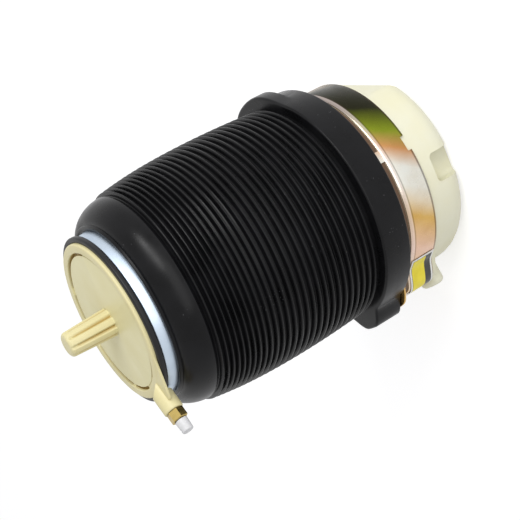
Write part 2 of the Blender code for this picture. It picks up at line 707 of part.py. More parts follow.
def boot_outline():
    """Outer side from the lip down over the shoulder and the ridges to the collar, then the inner side up."""
    lip_inner = GUIDE_NECK - GUIDE_WALL / 2
    lip_outer = lip_inner + BOOT_LIP_WIDTH
    shoulder_end = BOOT_TOP - SHOULDER_DROP
    outer = [
        (lip_inner, BOOT_TOP),
        (lip_outer, BOOT_TOP),
        (lip_outer + BOOT_LIP_GROOVE, BOOT_TOP - BOOT_LIP_HEIGHT),
        (lip_outer + 2 * BOOT_LIP_GROOVE, BOOT_TOP - BOOT_LIP_HEIGHT),
    ]
    rise = SHOULDER_RADIUS - outer[-1][0]
    drop = outer[-1][1] - shoulder_end
    start = outer[-1][0]
    power = 2.0 / SHOULDER_POWER
    for step in range(1, 6):
        angle = math.radians(90.0 - 18.0 * step)
        across = rise * abs(math.cos(angle)) ** power
        up = drop * abs(math.sin(angle)) ** power
        outer.append((start + across, shoulder_end + up))
    ridges, pitch = ridge_heights(shoulder_end, COLLAR_TOP)
    previous = shoulder_end
    valleys = []
    for place, height in enumerate(ridges):
        crest = crest_radius(place / (RIDGE_COUNT - 1))
        valleys.append((crest - RIDGE_DEPTH, (previous + height) / 2))
        outer.append(valleys[-1])
        outer.append((crest, height))
        previous = height
    outer.append((crest - RIDGE_DEPTH, COLLAR_TOP + pitch * 0.35))
    outer += [
        (COLLAR_RADIUS - COLLAR_EDGE, COLLAR_TOP),
        (COLLAR_RADIUS, COLLAR_TOP - COLLAR_EDGE),
        (COLLAR_RADIUS, SECOND_EAR_BOTTOM),
        (COLLAR_RADIUS, SECOND_EAR_BOTTOM - COLLAR_EDGE),
        (COLLAR_RADIUS, BOOT_FOOT + COLLAR_EDGE),
        (COLLAR_RADIUS - COLLAR_EDGE, BOOT_FOOT),
    ]
    inner = [
        (COLLAR_INNER, BOOT_FOOT),
        (COLLAR_INNER, COLLAR_TOP - COLLAR_WALL),
        (crest - RIDGE_DEPTH - BOOT_WALL, COLLAR_TOP - COLLAR_WALL + pitch),
    ]
    for place in (RIDGE_COUNT * 3 // 4, RIDGE_COUNT // 2, RIDGE_COUNT // 4, 0):
        radius, height = valleys[place]
        inner.append((radius - BOOT_WALL, height))
    clear = GUIDE_RADIUS + GAP
    inner += [
        (max(SHOULDER_RADIUS - 2.5 * BOOT_WALL, clear), shoulder_end),
        (clear, GUIDE_TOP - GUIDE_FLARE_HEIGHT - GUIDE_GRIP),
        (GUIDE_NECK + GUIDE_WALL / 2 + GAP, GUIDE_TOP - GUIDE_GRIP),
        (GUIDE_NECK + GUIDE_WALL / 2 + GAP, GUIDE_TOP + GAP),
        (lip_inner, GUIDE_TOP + GAP),
    ]
    return outer + inner


def make_boot(parent):
    """Corrugated dust boot with two ears on its collar."""

    def with_ears(angle, radius, height):
        if radius < CREST_RADIUS_FOOT + GAP or height > COLLAR_TOP + GAP:
            return radius
        bump = EAR_REACH * fade(angle, LOBE_ANGLE, EAR_CREST, EAR_FOOT)
        if radius > COLLAR_INNER + GAP and height > SECOND_EAR_BOTTOM - GAP:
            bump += SECOND_EAR_REACH * fade(angle, SECOND_EAR_ANGLE, SECOND_EAR_CREST, SECOND_EAR_FOOT)
        return radius + bump

    return turned("dust_boot", boot_outline(), 40, black_rubber(), parent, with_ears)


def make_sleeve(parent):
    """Rolling sleeve: a bead round the cap's rim, an outer leg, the fold and an inner leg up the barrel."""
    bead_bottom = BEAD_TOP - BEAD_HEIGHT
    fold_height = GUIDE_BOTTOM + FOLD_RISE
    middle = (SLEEVE_OUTER_LINE + SLEEVE_INNER_LINE) / 2
    turn = (SLEEVE_OUTER_LINE - SLEEVE_INNER_LINE) / 2
    bead_inner = NECK_RADIUS + GAP
    clear_of_step = SLEEVE_WALL / 2
    leg = [
        (SLEEVE_NECK, bead_bottom - BEAD_ROUND),
        (SLEEVE_NECK, CRIMP_BOTTOM),
        ((SLEEVE_NECK + SLEEVE_OUTER_LINE) / 2, CRIMP_BOTTOM - GUIDE_FLARE_HEIGHT / 2),
        (SLEEVE_OUTER_LINE, CRIMP_BOTTOM - GUIDE_FLARE_HEIGHT * 1.4),
    ]
    leg += arc(middle, fold_height, turn, 0, -180, 4)
    leg += [
        (SLEEVE_INNER_LINE, CLAMP_BOTTOM - CLAMP_STEP + clear_of_step),
        (CLAMP_LINE, CLAMP_BOTTOM + clear_of_step),
        (CLAMP_LINE, BARREL_TOP),
    ]
    outline = [
        (bead_inner, BEAD_TOP),
        (BEAD_LIP_INNER, BEAD_TOP),
        (BEAD_LIP_INNER, BEAD_LIP_TOP - GAP),
        (BEAD_LIP_INNER + GAP, BEAD_LIP_TOP),
        (BEAD_RADIUS - BEAD_ROUND, BEAD_LIP_TOP),
        (BEAD_RADIUS, BEAD_LIP_TOP - BEAD_ROUND),
        (BEAD_RADIUS, bead_bottom + BEAD_ROUND),
        (BEAD_RADIUS - BEAD_ROUND, bead_bottom),
        (SLEEVE_NECK + SLEEVE_WALL / 2, bead_bottom),
    ]
    outline += beside(leg, SLEEVE_WALL / 2)[1:]
    outline += beside(leg, -SLEEVE_WALL / 2)[:0:-1]
    sleeve = turned("air_sleeve", outline, 40, black_rubber(), parent)
    side = half_angle(2 * (BOSS_RADIUS + GAP), CAP_RADIUS)
    relief = (
        CAP_RADIUS,
        BEAD_RADIUS + MM,
        PORT_ANGLE - side,
        PORT_ANGLE + side,
        REST_LENGTH,
        BEAD_LIP_TOP + MM,
    )
    joined(sleeve, sector_blocks("port_relief", [relief], parent), "DIFFERENCE")
    return sleeve


def make_top_crimp(parent):
    """Swaged ring that holds the sleeve on the cap's neck, flaring slightly away from the cap."""
    outline = [
        (CRIMP_INNER, CRIMP_BOTTOM),
        (CRIMP_OUTER + CRIMP_FLARE, CRIMP_BOTTOM),
        (CRIMP_OUTER + CRIMP_FLARE, CRIMP_TOP - TOP_CRIMP_HEIGHT / 2),
        (CRIMP_OUTER, CRIMP_TOP - CRIMP_EDGE),
        (CRIMP_OUTER - CRIMP_EDGE, CRIMP_TOP),
        (CRIMP_INNER, CRIMP_TOP),
    ]
    return turned("top_crimp_ring", outline, 48, aluminium(), parent)


def make_guide_tube(parent):
    """Aluminium outer guide, swaged small at its top and open below."""
    path = [
        (GUIDE_NECK, GUIDE_TOP),
        (GUIDE_NECK, GUIDE_TOP - GUIDE_GRIP),
        (GUIDE_LINE, GUIDE_TOP - GUIDE_GRIP - GUIDE_FLARE_HEIGHT),
        (GUIDE_LINE, GUIDE_BOTTOM + GUIDE_END_HEIGHT),
        (GUIDE_LINE + GUIDE_END_FLARE, GUIDE_BOTTOM),
    ]
    return turned("guide_tube", thin_wall(path, GUIDE_WALL), 40, aluminium(), parent)


def make_pin(parent):
    """Splined locating pin, closed at its tip, with rounded ribs that run out near the end."""
    segments = PIN_RIBS * 6
    bottom = CAP_FACE - CEILING_THICKNESS / 2
    tip = CAP_FACE + PIN_LENGTH
    tip_radius = PIN_ROOT_RADIUS - PIN_DRAFT
    levels = (
        (bottom, PIN_ROOT_RADIUS, 1.0),
        (CAP_FACE, PIN_ROOT_RADIUS, 1.0),
        (tip - 2.5 * PIN_EDGE, tip_radius, 1.0),
        (tip - PIN_EDGE, tip_radius, 0.5),
        (tip - PIN_EDGE / 3, tip_radius - PIN_EDGE / 2, 0.1),
        (tip, tip_radius - PIN_EDGE * 1.4, 0.0),
    )

    def fluted(angle, radius, height):
        for level, mean, depth in levels:
            if height == level:
                away = abs((angle * PIN_RIBS / 360.0 + 0.5) % 1.0 - 0.5) * 2.0
                return mean - PIN_GROOVE_DEPTH * depth * (1.0 - away) ** 2
        return radius

    outline = [(0.0, bottom)] + [(mean, level) for level, mean, depth in levels] + [(0.0, tip)]
    return turned("cap_pin", outline, segments, cream_nylon(), parent, fluted)


def on_port(body):
    """Turns a body that was made along +Z so that it lies along the port's axis."""
    body.rotation_euler = (0.0, math.radians(90), math.radians(PORT_ANGLE))
    return body


def make_boss(parent, port):
    """Radial port boss, cleared underneath for the sleeve's bead, with a top that slopes down to the rim."""
    outline = [
        (0.0, BOSS_START),
        (BOSS_RADIUS, BOSS_START),
        (BOSS_RADIUS, BOSS_END - BOSS_EDGE),
        (BOSS_RADIUS - BOSS_EDGE, BOSS_END),
        (0.0, BOSS_END),
    ]
    boss = on_port(turned("port_boss", outline, 24, cream_nylon(), port))
    inner = NECK_RADIUS - NECK_WALL / 4
    outer = BEAD_RADIUS + RUNNING_GAP
    top = REST_LENGTH + GAP
    bottom = REST_LENGTH - 2 * BOSS_RADIUS
    clearance = [(inner, top), (inner, bottom), (outer, bottom), (outer, top)]
    joined(boss, turned("bead_clearance", clearance, 48, cream_nylon(), parent), "DIFFERENCE")
    run = 2 * BOSS_RADIUS
    foot = (BOSS_START - MM, CAP_TOP - MM)
    head = (foot[0] + run, foot[1] + run * math.tan(math.radians(BOSS_SLOPE)))
    above = [foot, head, (foot[0], head[1])]
    joined(boss, turned("rim_slope", above, 48, cream_nylon(), parent), "DIFFERENCE")
    return boss


def make_cap(parent, port):
    """Moulded cap: raised rim, grooved face with arc slots, hollow neck, splined pin and port boss."""
    rim_inner = CAP_RADIUS - CAP_RIM_WIDTH
    groove_inner = rim_inner - GROOVE_WIDTH
    neck_bottom = REST_LENGTH - NECK_LENGTH
    neck_inner = NECK_RADIUS - NECK_WALL
    turn = CAP_RIM_ROUND
    outline = [
        (0.0, CAP_FACE),
        (groove_inner, CAP_FACE),
        (groove_inner, CAP_FACE - GROOVE_DEPTH),
        (rim_inner, CAP_FACE - GROOVE_DEPTH),
    ]
    outline += arc(rim_inner + turn, CAP_TOP - turn, turn, 180, 90, 2)
    outline += arc(CAP_RADIUS - turn, CAP_TOP - turn, turn, 90, 0, 3)
    outline += [
        (CAP_RADIUS, REST_LENGTH + CAP_EDGE),
        (CAP_RADIUS - CAP_EDGE, REST_LENGTH),
        (NECK_RADIUS, REST_LENGTH),
        (NECK_RADIUS, neck_bottom),
        (neck_inner, neck_bottom),
        (neck_inner, CAP_CEILING),
        (0.0, CAP_CEILING),
    ]
    cap = turned("top_cap", outline, 56, cream_nylon(), parent)

    floor = CAP_FACE - GROOVE_DEPTH - SLOT_DEPTH
    slots = [(groove_inner + GAP, rim_inner - GAP, start, end, floor, CAP_FACE) for start, end in SLOT_ARCS]
    joined(cap, sector_blocks("face_slots", slots, parent, 8), "DIFFERENCE")
    joined(cap, make_pin(parent), "UNION")
    joined(cap, make_boss(parent, port), "UNION")
    cut_port(cap, neck_inner, port)
    return cap


def bored(cap, name, radius, start, end, port):
    """Bores a hole in the cap along the port's axis and returns its cutter, which may still be moved."""
    outline = [(0.0, start), (radius, start), (radius, end), (0.0, end)]
    cutter = on_port(turned(name, outline, 20, brass(), port))
    joined(cap, cutter, "DIFFERENCE")
    return cutter


def cut_port(cap, neck_inner, port):
    """The union's bore, and the thin inlet below it that turns down into the hollow of the cap."""
    bore_start = BOSS_END - UNION_BORE_DEPTH
    inlet_start = neck_inner - 6 * INLET_RADIUS
    bored(cap, "port_bore", UNION_BORE_RADIUS, bore_start, BOSS_END + MM, port)
    inlet = bored(cap, "port_inlet", INLET_RADIUS, inlet_start, bore_start + MM, port)
    inlet.location = (0.0, 0.0, -INLET_DROP)
    bottom = CAP_CEILING - PORT_HEIGHT - MM
    drop = [(0.0, bottom), (INLET_RADIUS, bottom), (INLET_RADIUS, -INLET_DROP), (0.0, -INLET_DROP)]
    down_hole = turned("port_down_hole", drop, 16, brass(), port)
    angle = math.radians(PORT_ANGLE)
    reach = inlet_start + INLET_RADIUS
    down_hole.location = (reach * math.cos(angle), reach * math.sin(angle), 0.0)
    joined(cap, down_hole, "DIFFERENCE")


def make_union(port):
    """Hexagonal brass union with a shank in the boss, an O-ring groove and a bore for the air line."""
    corner = HEX_FLATS / 2 / math.cos(math.pi / 6)
    shank = SHANK_RADIUS
    start = UNION_SEAT - SHANK_LENGTH
    groove = SEAL_WIRE + GAP
    groove_floor = shank - 2 * SEAL_WIRE - GAP
    stop = UNION_END - PLUG_STEM_LENGTH - RUNNING_GAP
    chamfer = HEX_CHAMFER
    outline = [
        (PASSAGE_RADIUS, start),
        (shank, start),
        (shank, SEAL_PLACE - groove),
        (groove_floor, SEAL_PLACE - groove),
        (groove_floor, SEAL_PLACE + groove),
        (shank, SEAL_PLACE + groove),
        (shank, UNION_SEAT),
        (corner, UNION_SEAT),
        (corner, UNION_END - chamfer),
        (corner - chamfer, UNION_END),
        (COUNTERBORE_RADIUS, UNION_END),
        (COUNTERBORE_RADIUS, UNION_END - COUNTERBORE_DEPTH),
        (TUBE_BORE_RADIUS, UNION_END - COUNTERBORE_DEPTH),
        (TUBE_BORE_RADIUS, stop),
        (PASSAGE_RADIUS, stop),
    ]

    def six_sided(angle, radius, height):
        if radius < shank + GAP:
            return radius
        inside = radius - corner
        flat = math.radians((angle + 30.0) % 60.0 - 30.0)
        return (HEX_FLATS / 2) / math.cos(flat) + inside

    return on_port(turned("port_union", outline, 24, brass(), port, six_sided))


def make_o_ring(name, ring_radius, place, port):
    """A small O-ring across the port's axis."""
    outline = arc(ring_radius, place, SEAL_WIRE, 0, 300, 5)
    return on_port(turned(name, outline, 16, black_rubber(), port))


def make_grip_ring(port):
    """Toothed ring inside the union that grips the air line, with a sloping bite edge."""
    end = UNION_END - GAP
    start = end - GRIP_RING_LENGTH
    mouth = TUBE_BORE_RADIUS + GRIP_RING_BITE
    inner = TUBE_BORE_RADIUS
    outer = COUNTERBORE_RADIUS - GAP
    outline = [(inner, start), (outer, start), (outer, end), (mouth, end)]
    return on_port(turned("grip_ring", outline, 16, brass(), port))


def make_valve(port):
    """Residual pressure valve: a small disc seat at the bottom of the union's bore."""
    start = BOSS_END - UNION_BORE_DEPTH + GAP
    end = UNION_SEAT - SHANK_LENGTH - GAP
    outline = [
        (PASSAGE_RADIUS / 2, start),
        (SHANK_RADIUS, start),
        (SHANK_RADIUS, end),
        (PASSAGE_RADIUS / 2, end),
    ]
    return on_port(turned("residual_valve", outline, 16, black_rubber(), port))


def make_plug(port):
    """Transport plug: a tapered cap outside the union and a stem in its bore."""
    start = UNION_END + GAP
    end = start + PLUG_LENGTH
    tip = start - PLUG_STEM_LENGTH
    outline = [
        (0.0, tip),
        (STEM_RADIUS - PLUG_EDGE / 2, tip),
        (STEM_RADIUS, tip + PLUG_EDGE),
        (STEM_RADIUS, start),
        (PLUG_RADIUS, start),
        (PLUG_RADIUS - PLUG_TAPER, end - PLUG_EDGE),
        (PLUG_RADIUS - PLUG_TAPER - PLUG_EDGE, end),
        (0.0, end),
    ]
    return on_port(turned("transport_plug", outline, 24, white_plastic(), port))


def main():
    for old in list(bpy.data.objects):
        bpy.data.objects.remove(old)
    piston = frame("piston_frame")
    cap = frame("cap_frame", piston)
    port = frame("port_frame", cap)
    port.location = (0.0, 0.0, PORT_HEIGHT)

    make_piston_base(piston)
    make_retaining_ring(piston)
    make_label(piston)
    make_boot_retainer(piston)
    make_barrel(piston)
    make_crown(piston)
    make_lower_crimp(piston)
    make_bump_stop(piston)
    make_stud(piston)
    make_boot(piston)
    make_sleeve(piston)

    make_cap(cap, port)
    make_top_crimp(cap)
    make_guide_tube(cap)
    make_union(port)
    make_o_ring("union_seal", SHANK_RADIUS - SEAL_WIRE, SEAL_PLACE, port)
    make_o_ring("tube_seal", TUBE_SEAL_RADIUS, UNION_END - COUNTERBORE_DEPTH + SEAL_WIRE + GAP, port)
    make_grip_ring(port)
    make_valve(port)
    make_plug(port)


main()
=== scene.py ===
"""The looks of the rear air spring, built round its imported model.

Sizes are in millimetres and are scaled once, where a piece is made. +Z runs along the spring's
axis, from the piston's foot to the pin's tip. Angles round the axis are in degrees from +X.
"""

import math

import bpy
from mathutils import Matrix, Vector


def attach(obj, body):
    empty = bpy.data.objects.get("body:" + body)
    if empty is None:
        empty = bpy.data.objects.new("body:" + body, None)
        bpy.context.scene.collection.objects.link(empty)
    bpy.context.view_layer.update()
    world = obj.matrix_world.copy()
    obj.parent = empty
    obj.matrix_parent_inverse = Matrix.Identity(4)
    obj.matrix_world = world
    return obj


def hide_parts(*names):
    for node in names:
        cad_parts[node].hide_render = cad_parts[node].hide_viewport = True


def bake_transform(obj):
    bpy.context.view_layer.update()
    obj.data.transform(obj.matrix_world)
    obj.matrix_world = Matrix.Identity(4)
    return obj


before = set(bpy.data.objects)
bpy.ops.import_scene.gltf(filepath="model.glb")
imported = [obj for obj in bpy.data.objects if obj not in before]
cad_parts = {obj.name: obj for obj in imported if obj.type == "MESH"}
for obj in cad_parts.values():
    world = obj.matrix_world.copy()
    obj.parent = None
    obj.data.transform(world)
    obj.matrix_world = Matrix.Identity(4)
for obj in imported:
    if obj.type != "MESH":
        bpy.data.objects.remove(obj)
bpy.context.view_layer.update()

MM = 0.001
MERGE = 0.01 * MM

LOBE_ANGLE = 159.0
LOBE_REACH = 9.6
EAR_REACH = 9.0
SECOND_EAR_ANGLE = 340.0
SECOND_EAR_REACH = 4.5
COLLAR_TOP = 82.8
CREST_TOP, CREST_MIDDLE, CREST_FOOT = 74.0, 78.7, 77.0
RIDGES = 27
RIDGE_DEPTH = 3.3
BAND_RADIUS = 72.4
PORT_HEIGHT = 239.6
TAB_ANGLES = (15.0, 135.0, 255.0)
FLAT_ANGLE, FLAT_DEPTH, FLAT_TOP = 318.0, 7.7, 28.3
KEYWAY_ANGLE, KEYWAY_TOP, KEYWAY_BLOCK = 236.0, 22.0, (24.0, 20.0, 30.0)
SKIRT_RADIUS = 70.7
LOBE_FOOT = 24.0
LUG_REACH, LUG_RADIUS, LUG_HEIGHT = 86.9, 7.5, 23.5
BAND_FOOT, BAND_TOP = 31.5, 53.0
FLANGE_FOOT, FLANGE_TOP = 59.7, 61.1
COLLAR_RADIUS, COLLAR_FOOT = 81.0, 61.4
SHOULDER_FOOT = 209.7
CAP_RADIUS = 54.2
RIM_TOP, CAP_FACE, GROOVE_FLOOR, SLOT_FLOOR = 241.0, 240.0, 239.6, 237.0
SLOT_INSIDE, SLOT_OUTSIDE = 46.1, 48.3
PIN_TIP, PIN_RIBS, FLUTE_RUN_OUT = 271.7, 8, 4.0
BOSS_RADIUS, BOSS_END = 6.5, 71.0
WEB_FOOT, WEB_THICKNESS = 239.05, 1.75
HEXAGON_FLAT = 5.0
SLOT_ARCS = (
    (-42.0, 28.0),
    (35.0, 75.0),
    (81.0, 130.0),
    (134.0, 163.0),
    (184.0, 211.0),
    (216.0, 256.0),
)
WHITE = (1.0, 1.0, 1.0, 1.0)


# Making shapes

def alone(piece=None):
    """Leaves edit mode and selects only this piece, or nothing."""
    if bpy.context.mode != "OBJECT":
        bpy.ops.object.mode_set(mode="OBJECT")
    bpy.ops.object.select_all(action="DESELECT")
    if piece:
        piece.select_set(True)
        bpy.context.view_layer.objects.active = piece
    return piece


def drawn(name, points, closed):
    """A wire through points, extruded from a single vertex."""
    alone()
    bpy.ops.mesh.primitive_plane_add(size=MM, location=(0.0, 0.0, 0.0))
    piece = bpy.context.object
    piece.name = name
    bpy.ops.object.mode_set(mode="EDIT")
    bpy.ops.mesh.merge(type="CENTER")
    bpy.ops.transform.translate(value=Vector(points[0]) * MM)
    following = points[1:] + points[:1] if closed else points[1:]
    for here, there in zip(points, following):
        move = (Vector(there) - Vector(here)) * MM
        bpy.ops.mesh.extrude_vertices_move(TRANSFORM_OT_translate={"value": move})
    bpy.ops.mesh.select_all(action="SELECT")
    bpy.ops.mesh.remove_doubles(threshold=MERGE)
    bpy.ops.mesh.select_all(action="SELECT")
    return piece


def sealed(piece):
    """Merges doubles, turns all faces outwards and leaves edit mode."""
    bpy.ops.mesh.select_all(action="SELECT")
    bpy.ops.mesh.remove_doubles(threshold=MERGE)
    bpy.ops.mesh.select_all(action="SELECT")
    bpy.ops.mesh.normals_make_consistent(inside=False)
    return alone(piece)


def turned(name, outline, steps, closed=True):
    """A body of revolution round Z from (radius, height) points. An open outline ends on the axis."""
    piece = drawn(name, [(radius, 0.0, height) for radius, height in outline], closed)
    bpy.ops.mesh.spin(steps=steps, angle=-math.tau, center=(0.0, 0.0, 0.0), axis=(0.0, 0.0, 1.0))
    return sealed(piece)


def sector(name, outline, start, end, steps):
    """A closed outline swept round Z from one angle to another, with its ends filled."""
    turn = math.radians(start)
    points = [(radius * math.cos(turn), radius * math.sin(turn), height) for radius, height in outline]
    piece = drawn(name, points, True)
    sweep = math.radians(end - start)
    bpy.ops.mesh.spin(steps=steps, angle=-sweep, center=(0.0, 0.0, 0.0), axis=(0.0, 0.0, 1.0))
    bpy.ops.mesh.select_all(action="SELECT")
    bpy.ops.mesh.remove_doubles(threshold=MERGE)
    bpy.ops.mesh.select_all(action="SELECT")
    bpy.ops.mesh.fill_holes(sides=len(outline))
    return sealed(piece)


def rounded(corners, steps=4):
    """An outline from (radius, height, fillet) corners, each fillet turned into an arc of points."""
    points = []
    count = len(corners)
    for place, (radius, height, fillet) in enumerate(corners):
        here = Vector((radius, height))
        if fillet == 0.0:
            points.append(tuple(here))
            continue
        before = (Vector(corners[place - 1][:2]) - here).normalized()
        after = (Vector(corners[(place + 1) % count][:2]) - here).normalized()
        half = math.acos(max(-1.0, min(1.0, before.dot(after)))) / 2
        centre = here + (before + after).normalized() * (fillet / math.sin(half))
        start = here + before * (fillet / math.tan(half)) - centre
        end = here + after * (fillet / math.tan(half)) - centre
        sweep = start.angle_signed(end)
        for step in range(steps + 1):
            angle = -sweep * step / steps
            turn = (math.cos(angle), math.sin(angle))
            spoke = Vector((start.x * turn[0] - start.y * turn[1], start.x * turn[1] + start.y * turn[0]))
            points.append(tuple(centre + spoke))
    return points


def pushed(piece, rule):
    """Moves each vertex to the radius and height that rule gives for its angle, radius and height."""
    for vertex in piece.data.vertices:
        x, y, z = vertex.co / MM
        radius = math.hypot(x, y)
        if radius < 0.001:
            continue
        angle = math.degrees(math.atan2(y, x)) % 360.0
        reach, height = rule(angle, radius, z)
        vertex.co = Vector((x * reach / radius, y * reach / radius, height)) * MM
    piece.data.update()
    return piece


def applied(piece, kind, **settings):
    """Adds one modifier with its settings and applies it."""
    alone(piece)
    modifier = piece.modifiers.new(kind.lower(), kind)
    for label, value in settings.items():
        setattr(modifier, label, value)
    bpy.ops.object.modifier_apply(modifier=modifier.name)
    return piece


def carved(piece, tool, operation="DIFFERENCE"):
    """Cuts the tool from the piece, or joins it on, and removes the tool."""
    applied(piece, "BOOLEAN", object=tool, operation=operation, solver="EXACT")
    bpy.data.objects.remove(tool)
    return piece


def copied(piece, angle):
    """A copy with its own mesh, turned round Z."""
    other = piece.copy()
    other.data = piece.data.copy()
    bpy.context.scene.collection.objects.link(other)
    alone(other)
    bpy.ops.transform.rotate(value=-math.radians(angle), orient_axis="Z", center_override=(0.0, 0.0, 0.0))
    bpy.ops.object.transform_apply(location=True, rotation=True, scale=True)
    return other


def gathered(pieces):
    """Joins pieces that don't touch each other into the first one."""
    alone(pieces[0])
    for piece in pieces:
        piece.select_set(True)
    bpy.ops.object.join()
    return bpy.context.object


def on_port(piece):
    """Lays a piece that was made along +Z on the port's axis, along -X."""
    alone(piece)
    piece.rotation_euler = (0.0, math.radians(-90.0), 0.0)
    piece.location = (0.0, 0.0, PORT_HEIGHT * MM)
    bpy.ops.object.transform_apply(location=True, rotation=True, scale=True)
    return piece


def fade(angle, centre, crest, foot):
    """1 near the centre angle, falling smoothly to 0 at foot degrees from it."""
    away = abs((angle - centre + 180.0) % 360.0 - 180.0)
    share = min(max((foot - away) / (foot - crest), 0.0), 1.0)
    return share * share * (3.0 - 2.0 * share)


def lobe(angle):
    return fade(angle, LOBE_ANGLE, 10.0, 25.0)


def finished(piece, material, slot, body, *nodes, angle=32.0):
    """Shades a piece, gives it its material and lets it stand for its CAD nodes."""
    alone(piece)
    bpy.ops.object.shade_smooth_by_angle(angle=math.radians(angle))
    piece.data.materials.clear()
    piece.data.materials.append(material)
    if body:
        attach(piece, body)
    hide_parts(*nodes)
    return piece


# Materials

def new_group(name, inputs, outputs):
    """A shader node group, with its sockets and its two ends."""
    tree = bpy.data.node_groups.new(name, "ShaderNodeTree")
    for label, kind, value in inputs:
        socket = tree.interface.new_socket(name=label, in_out="INPUT", socket_type=kind)
        socket.default_value = value
    for label, kind in outputs:
        tree.interface.new_socket(name=label, in_out="OUTPUT", socket_type=kind)
    return tree, tree.nodes.new("NodeGroupInput").outputs, tree.nodes.new("NodeGroupOutput").inputs


def node(tree, kind, inputs=None, **settings):
    """A shader node. An input is a value, or an output socket that is linked to it."""
    made = tree.nodes.new("ShaderNode" + kind)
    for label, value in settings.items():
        setattr(made, label, value)
    for label, value in (inputs or {}).items():
        if isinstance(value, bpy.types.NodeSocket):
            tree.links.new(value, made.inputs[label])
        else:
            made.inputs[label].default_value = value
    return made


def ramp(tree, factor, stops, interpolation="LINEAR"):
    """A colour ramp through (place, colour) stops."""
    made = node(tree, "ValToRGB", {"Fac": factor})
    made.color_ramp.interpolation = interpolation
    elements = made.color_ramp.elements
    while len(elements) < len(stops):
        elements.new(0.5)
    for element, (place, colour) in zip(elements, stops):
        element.position = place
        element.color = (*colour, 1.0)
    return made.outputs["Color"]


def mixed_colour(tree, factor, first, second, blend_type="MIX"):
    made = node(tree, "Mix", data_type="RGBA", blend_type=blend_type)
    for place, value in ((0, factor), (6, first), (7, second)):
        if isinstance(value, bpy.types.NodeSocket):
            tree.links.new(value, made.inputs[place])
        else:
            made.inputs[place].default_value = value
    return made.outputs[2]


def mottle_group():
    """Slow blotches and fine specks between two colours, as in a moulding."""
    tree, given, wanted = new_group(
        "mottle",
        (
            ("Vector", "NodeSocketVector", (0.0, 0.0, 0.0)),
            ("Main", "NodeSocketColor", (0.8, 0.8, 0.8, 1.0)),
            ("Shade", "NodeSocketColor", (0.5, 0.5, 0.5, 1.0)),
            ("Scale", "NodeSocketFloat", 60.0),
            ("Strength", "NodeSocketFloat", 0.5),
        ),
        (("Color", "NodeSocketColor"), ("Value", "NodeSocketFloat")),
    )
    slow = node(tree, "TexNoise", {"Vector": given["Vector"], "Scale": given["Scale"], "Detail": 4.0})
    steep = node(tree, "MapRange", {"Value": slow.outputs["Fac"], "From Min": 0.35, "From Max": 0.7})
    share = node(tree, "Math", {0: steep.outputs["Result"], 1: given["Strength"]}, operation="MULTIPLY")
    tree.links.new(mixed_colour(tree, share.outputs[0], given["Main"], given["Shade"]), wanted["Color"])
    tree.links.new(slow.outputs["Fac"], wanted["Value"])
    return tree


def fleck_group():
    """Scattered small flecks, such as dust on rubber."""
    tree, given, wanted = new_group(
        "flecks",
        (
            ("Vector", "NodeSocketVector", (0.0, 0.0, 0.0)),
            ("Scale", "NodeSocketFloat", 300.0),
            ("Size", "NodeSocketFloat", 0.1),
            ("Amount", "NodeSocketFloat", 0.5),
        ),
        (("Mask", "NodeSocketFloat"),),
    )
    cells = node(tree, "TexVoronoi", {"Vector": given["Vector"], "Scale": given["Scale"]})
    near = node(tree, "Math", {0: cells.outputs["Distance"], 1: given["Size"]}, operation="LESS_THAN")
    patch = node(tree, "TexNoise", {"Vector": given["Vector"], "Scale": 45.0, "Detail": 2.0})
    some = node(tree, "Math", {0: patch.outputs["Fac"], 1: given["Amount"]}, operation="GREATER_THAN")
    both = node(tree, "Math", {0: near.outputs[0], 1: some.outputs[0]}, operation="MULTIPLY")
    tree.links.new(both.outputs[0], wanted["Mask"])
    return tree


def grain_group():
    """Height for a bump: fine grain on slow waves."""
    tree, given, wanted = new_group(
        "grain",
        (
            ("Vector", "NodeSocketVector", (0.0, 0.0, 0.0)),
            ("Scale", "NodeSocketFloat", 900.0),
            ("Waves", "NodeSocketFloat", 70.0),
        ),
        (("Height", "NodeSocketFloat"),),
    )
    fine = node(tree, "TexNoise", {"Vector": given["Vector"], "Scale": given["Scale"], "Detail": 3.0})
    slow = node(tree, "TexNoise", {"Vector": given["Vector"], "Scale": given["Waves"], "Detail": 1.0})
    parts = {0: slow.outputs["Fac"], 1: 3.0, 2: fine.outputs["Fac"]}
    total = node(tree, "Math", parts, operation="MULTIPLY_ADD")
    tree.links.new(total.outputs[0], wanted["Height"])
    return tree


MOTTLE = mottle_group()
FLECKS = fleck_group()
GRAIN = grain_group()


def placed_group(tree, group, **values):
    made = tree.nodes.new("ShaderNodeGroup")
    made.node_tree = group
    for label, value in values.items():
        if isinstance(value, bpy.types.NodeSocket):
            tree.links.new(value, made.inputs[label])
        else:
            made.inputs[label].default_value = value
    return made.outputs


def new_material(name, roughness, metallic=0.0, **settings):
    """A material with its shader and its Object coordinates."""
    material = bpy.data.materials.new(name)
    material.use_nodes = True
    tree = material.node_tree
    shader = tree.nodes["Principled BSDF"]
    shader.inputs["Roughness"].default_value = roughness
    shader.inputs["Metallic"].default_value = metallic
    for label, value in settings.items():
        shader.inputs[label.replace("_", " ")].default_value = value
    place = node(tree, "TexCoord").outputs["Object"]
    return material, tree, shader.inputs, place


def rough_between(tree, socket, value, low, high):
    spread = {"Value": value, "From Min": 0.3, "From Max": 0.7, "To Min": low, "To Max": high}
    tree.links.new(node(tree, "MapRange", spread).outputs["Result"], socket)


def mottled(tree, place, main, shade, scale, strength):
    """The mottle group, placed between two colours."""
    return placed_group(
        tree, MOTTLE, Vector=place, Main=(*main, 1.0), Shade=(*shade, 1.0), Scale=scale, Strength=strength
    )


def bumped(tree, socket, height, distance, strength=1.0):
    made = node(tree, "Bump", {"Height": height, "Distance": distance * MM, "Strength": strength})
    tree.links.new(made.outputs["Normal"], socket)


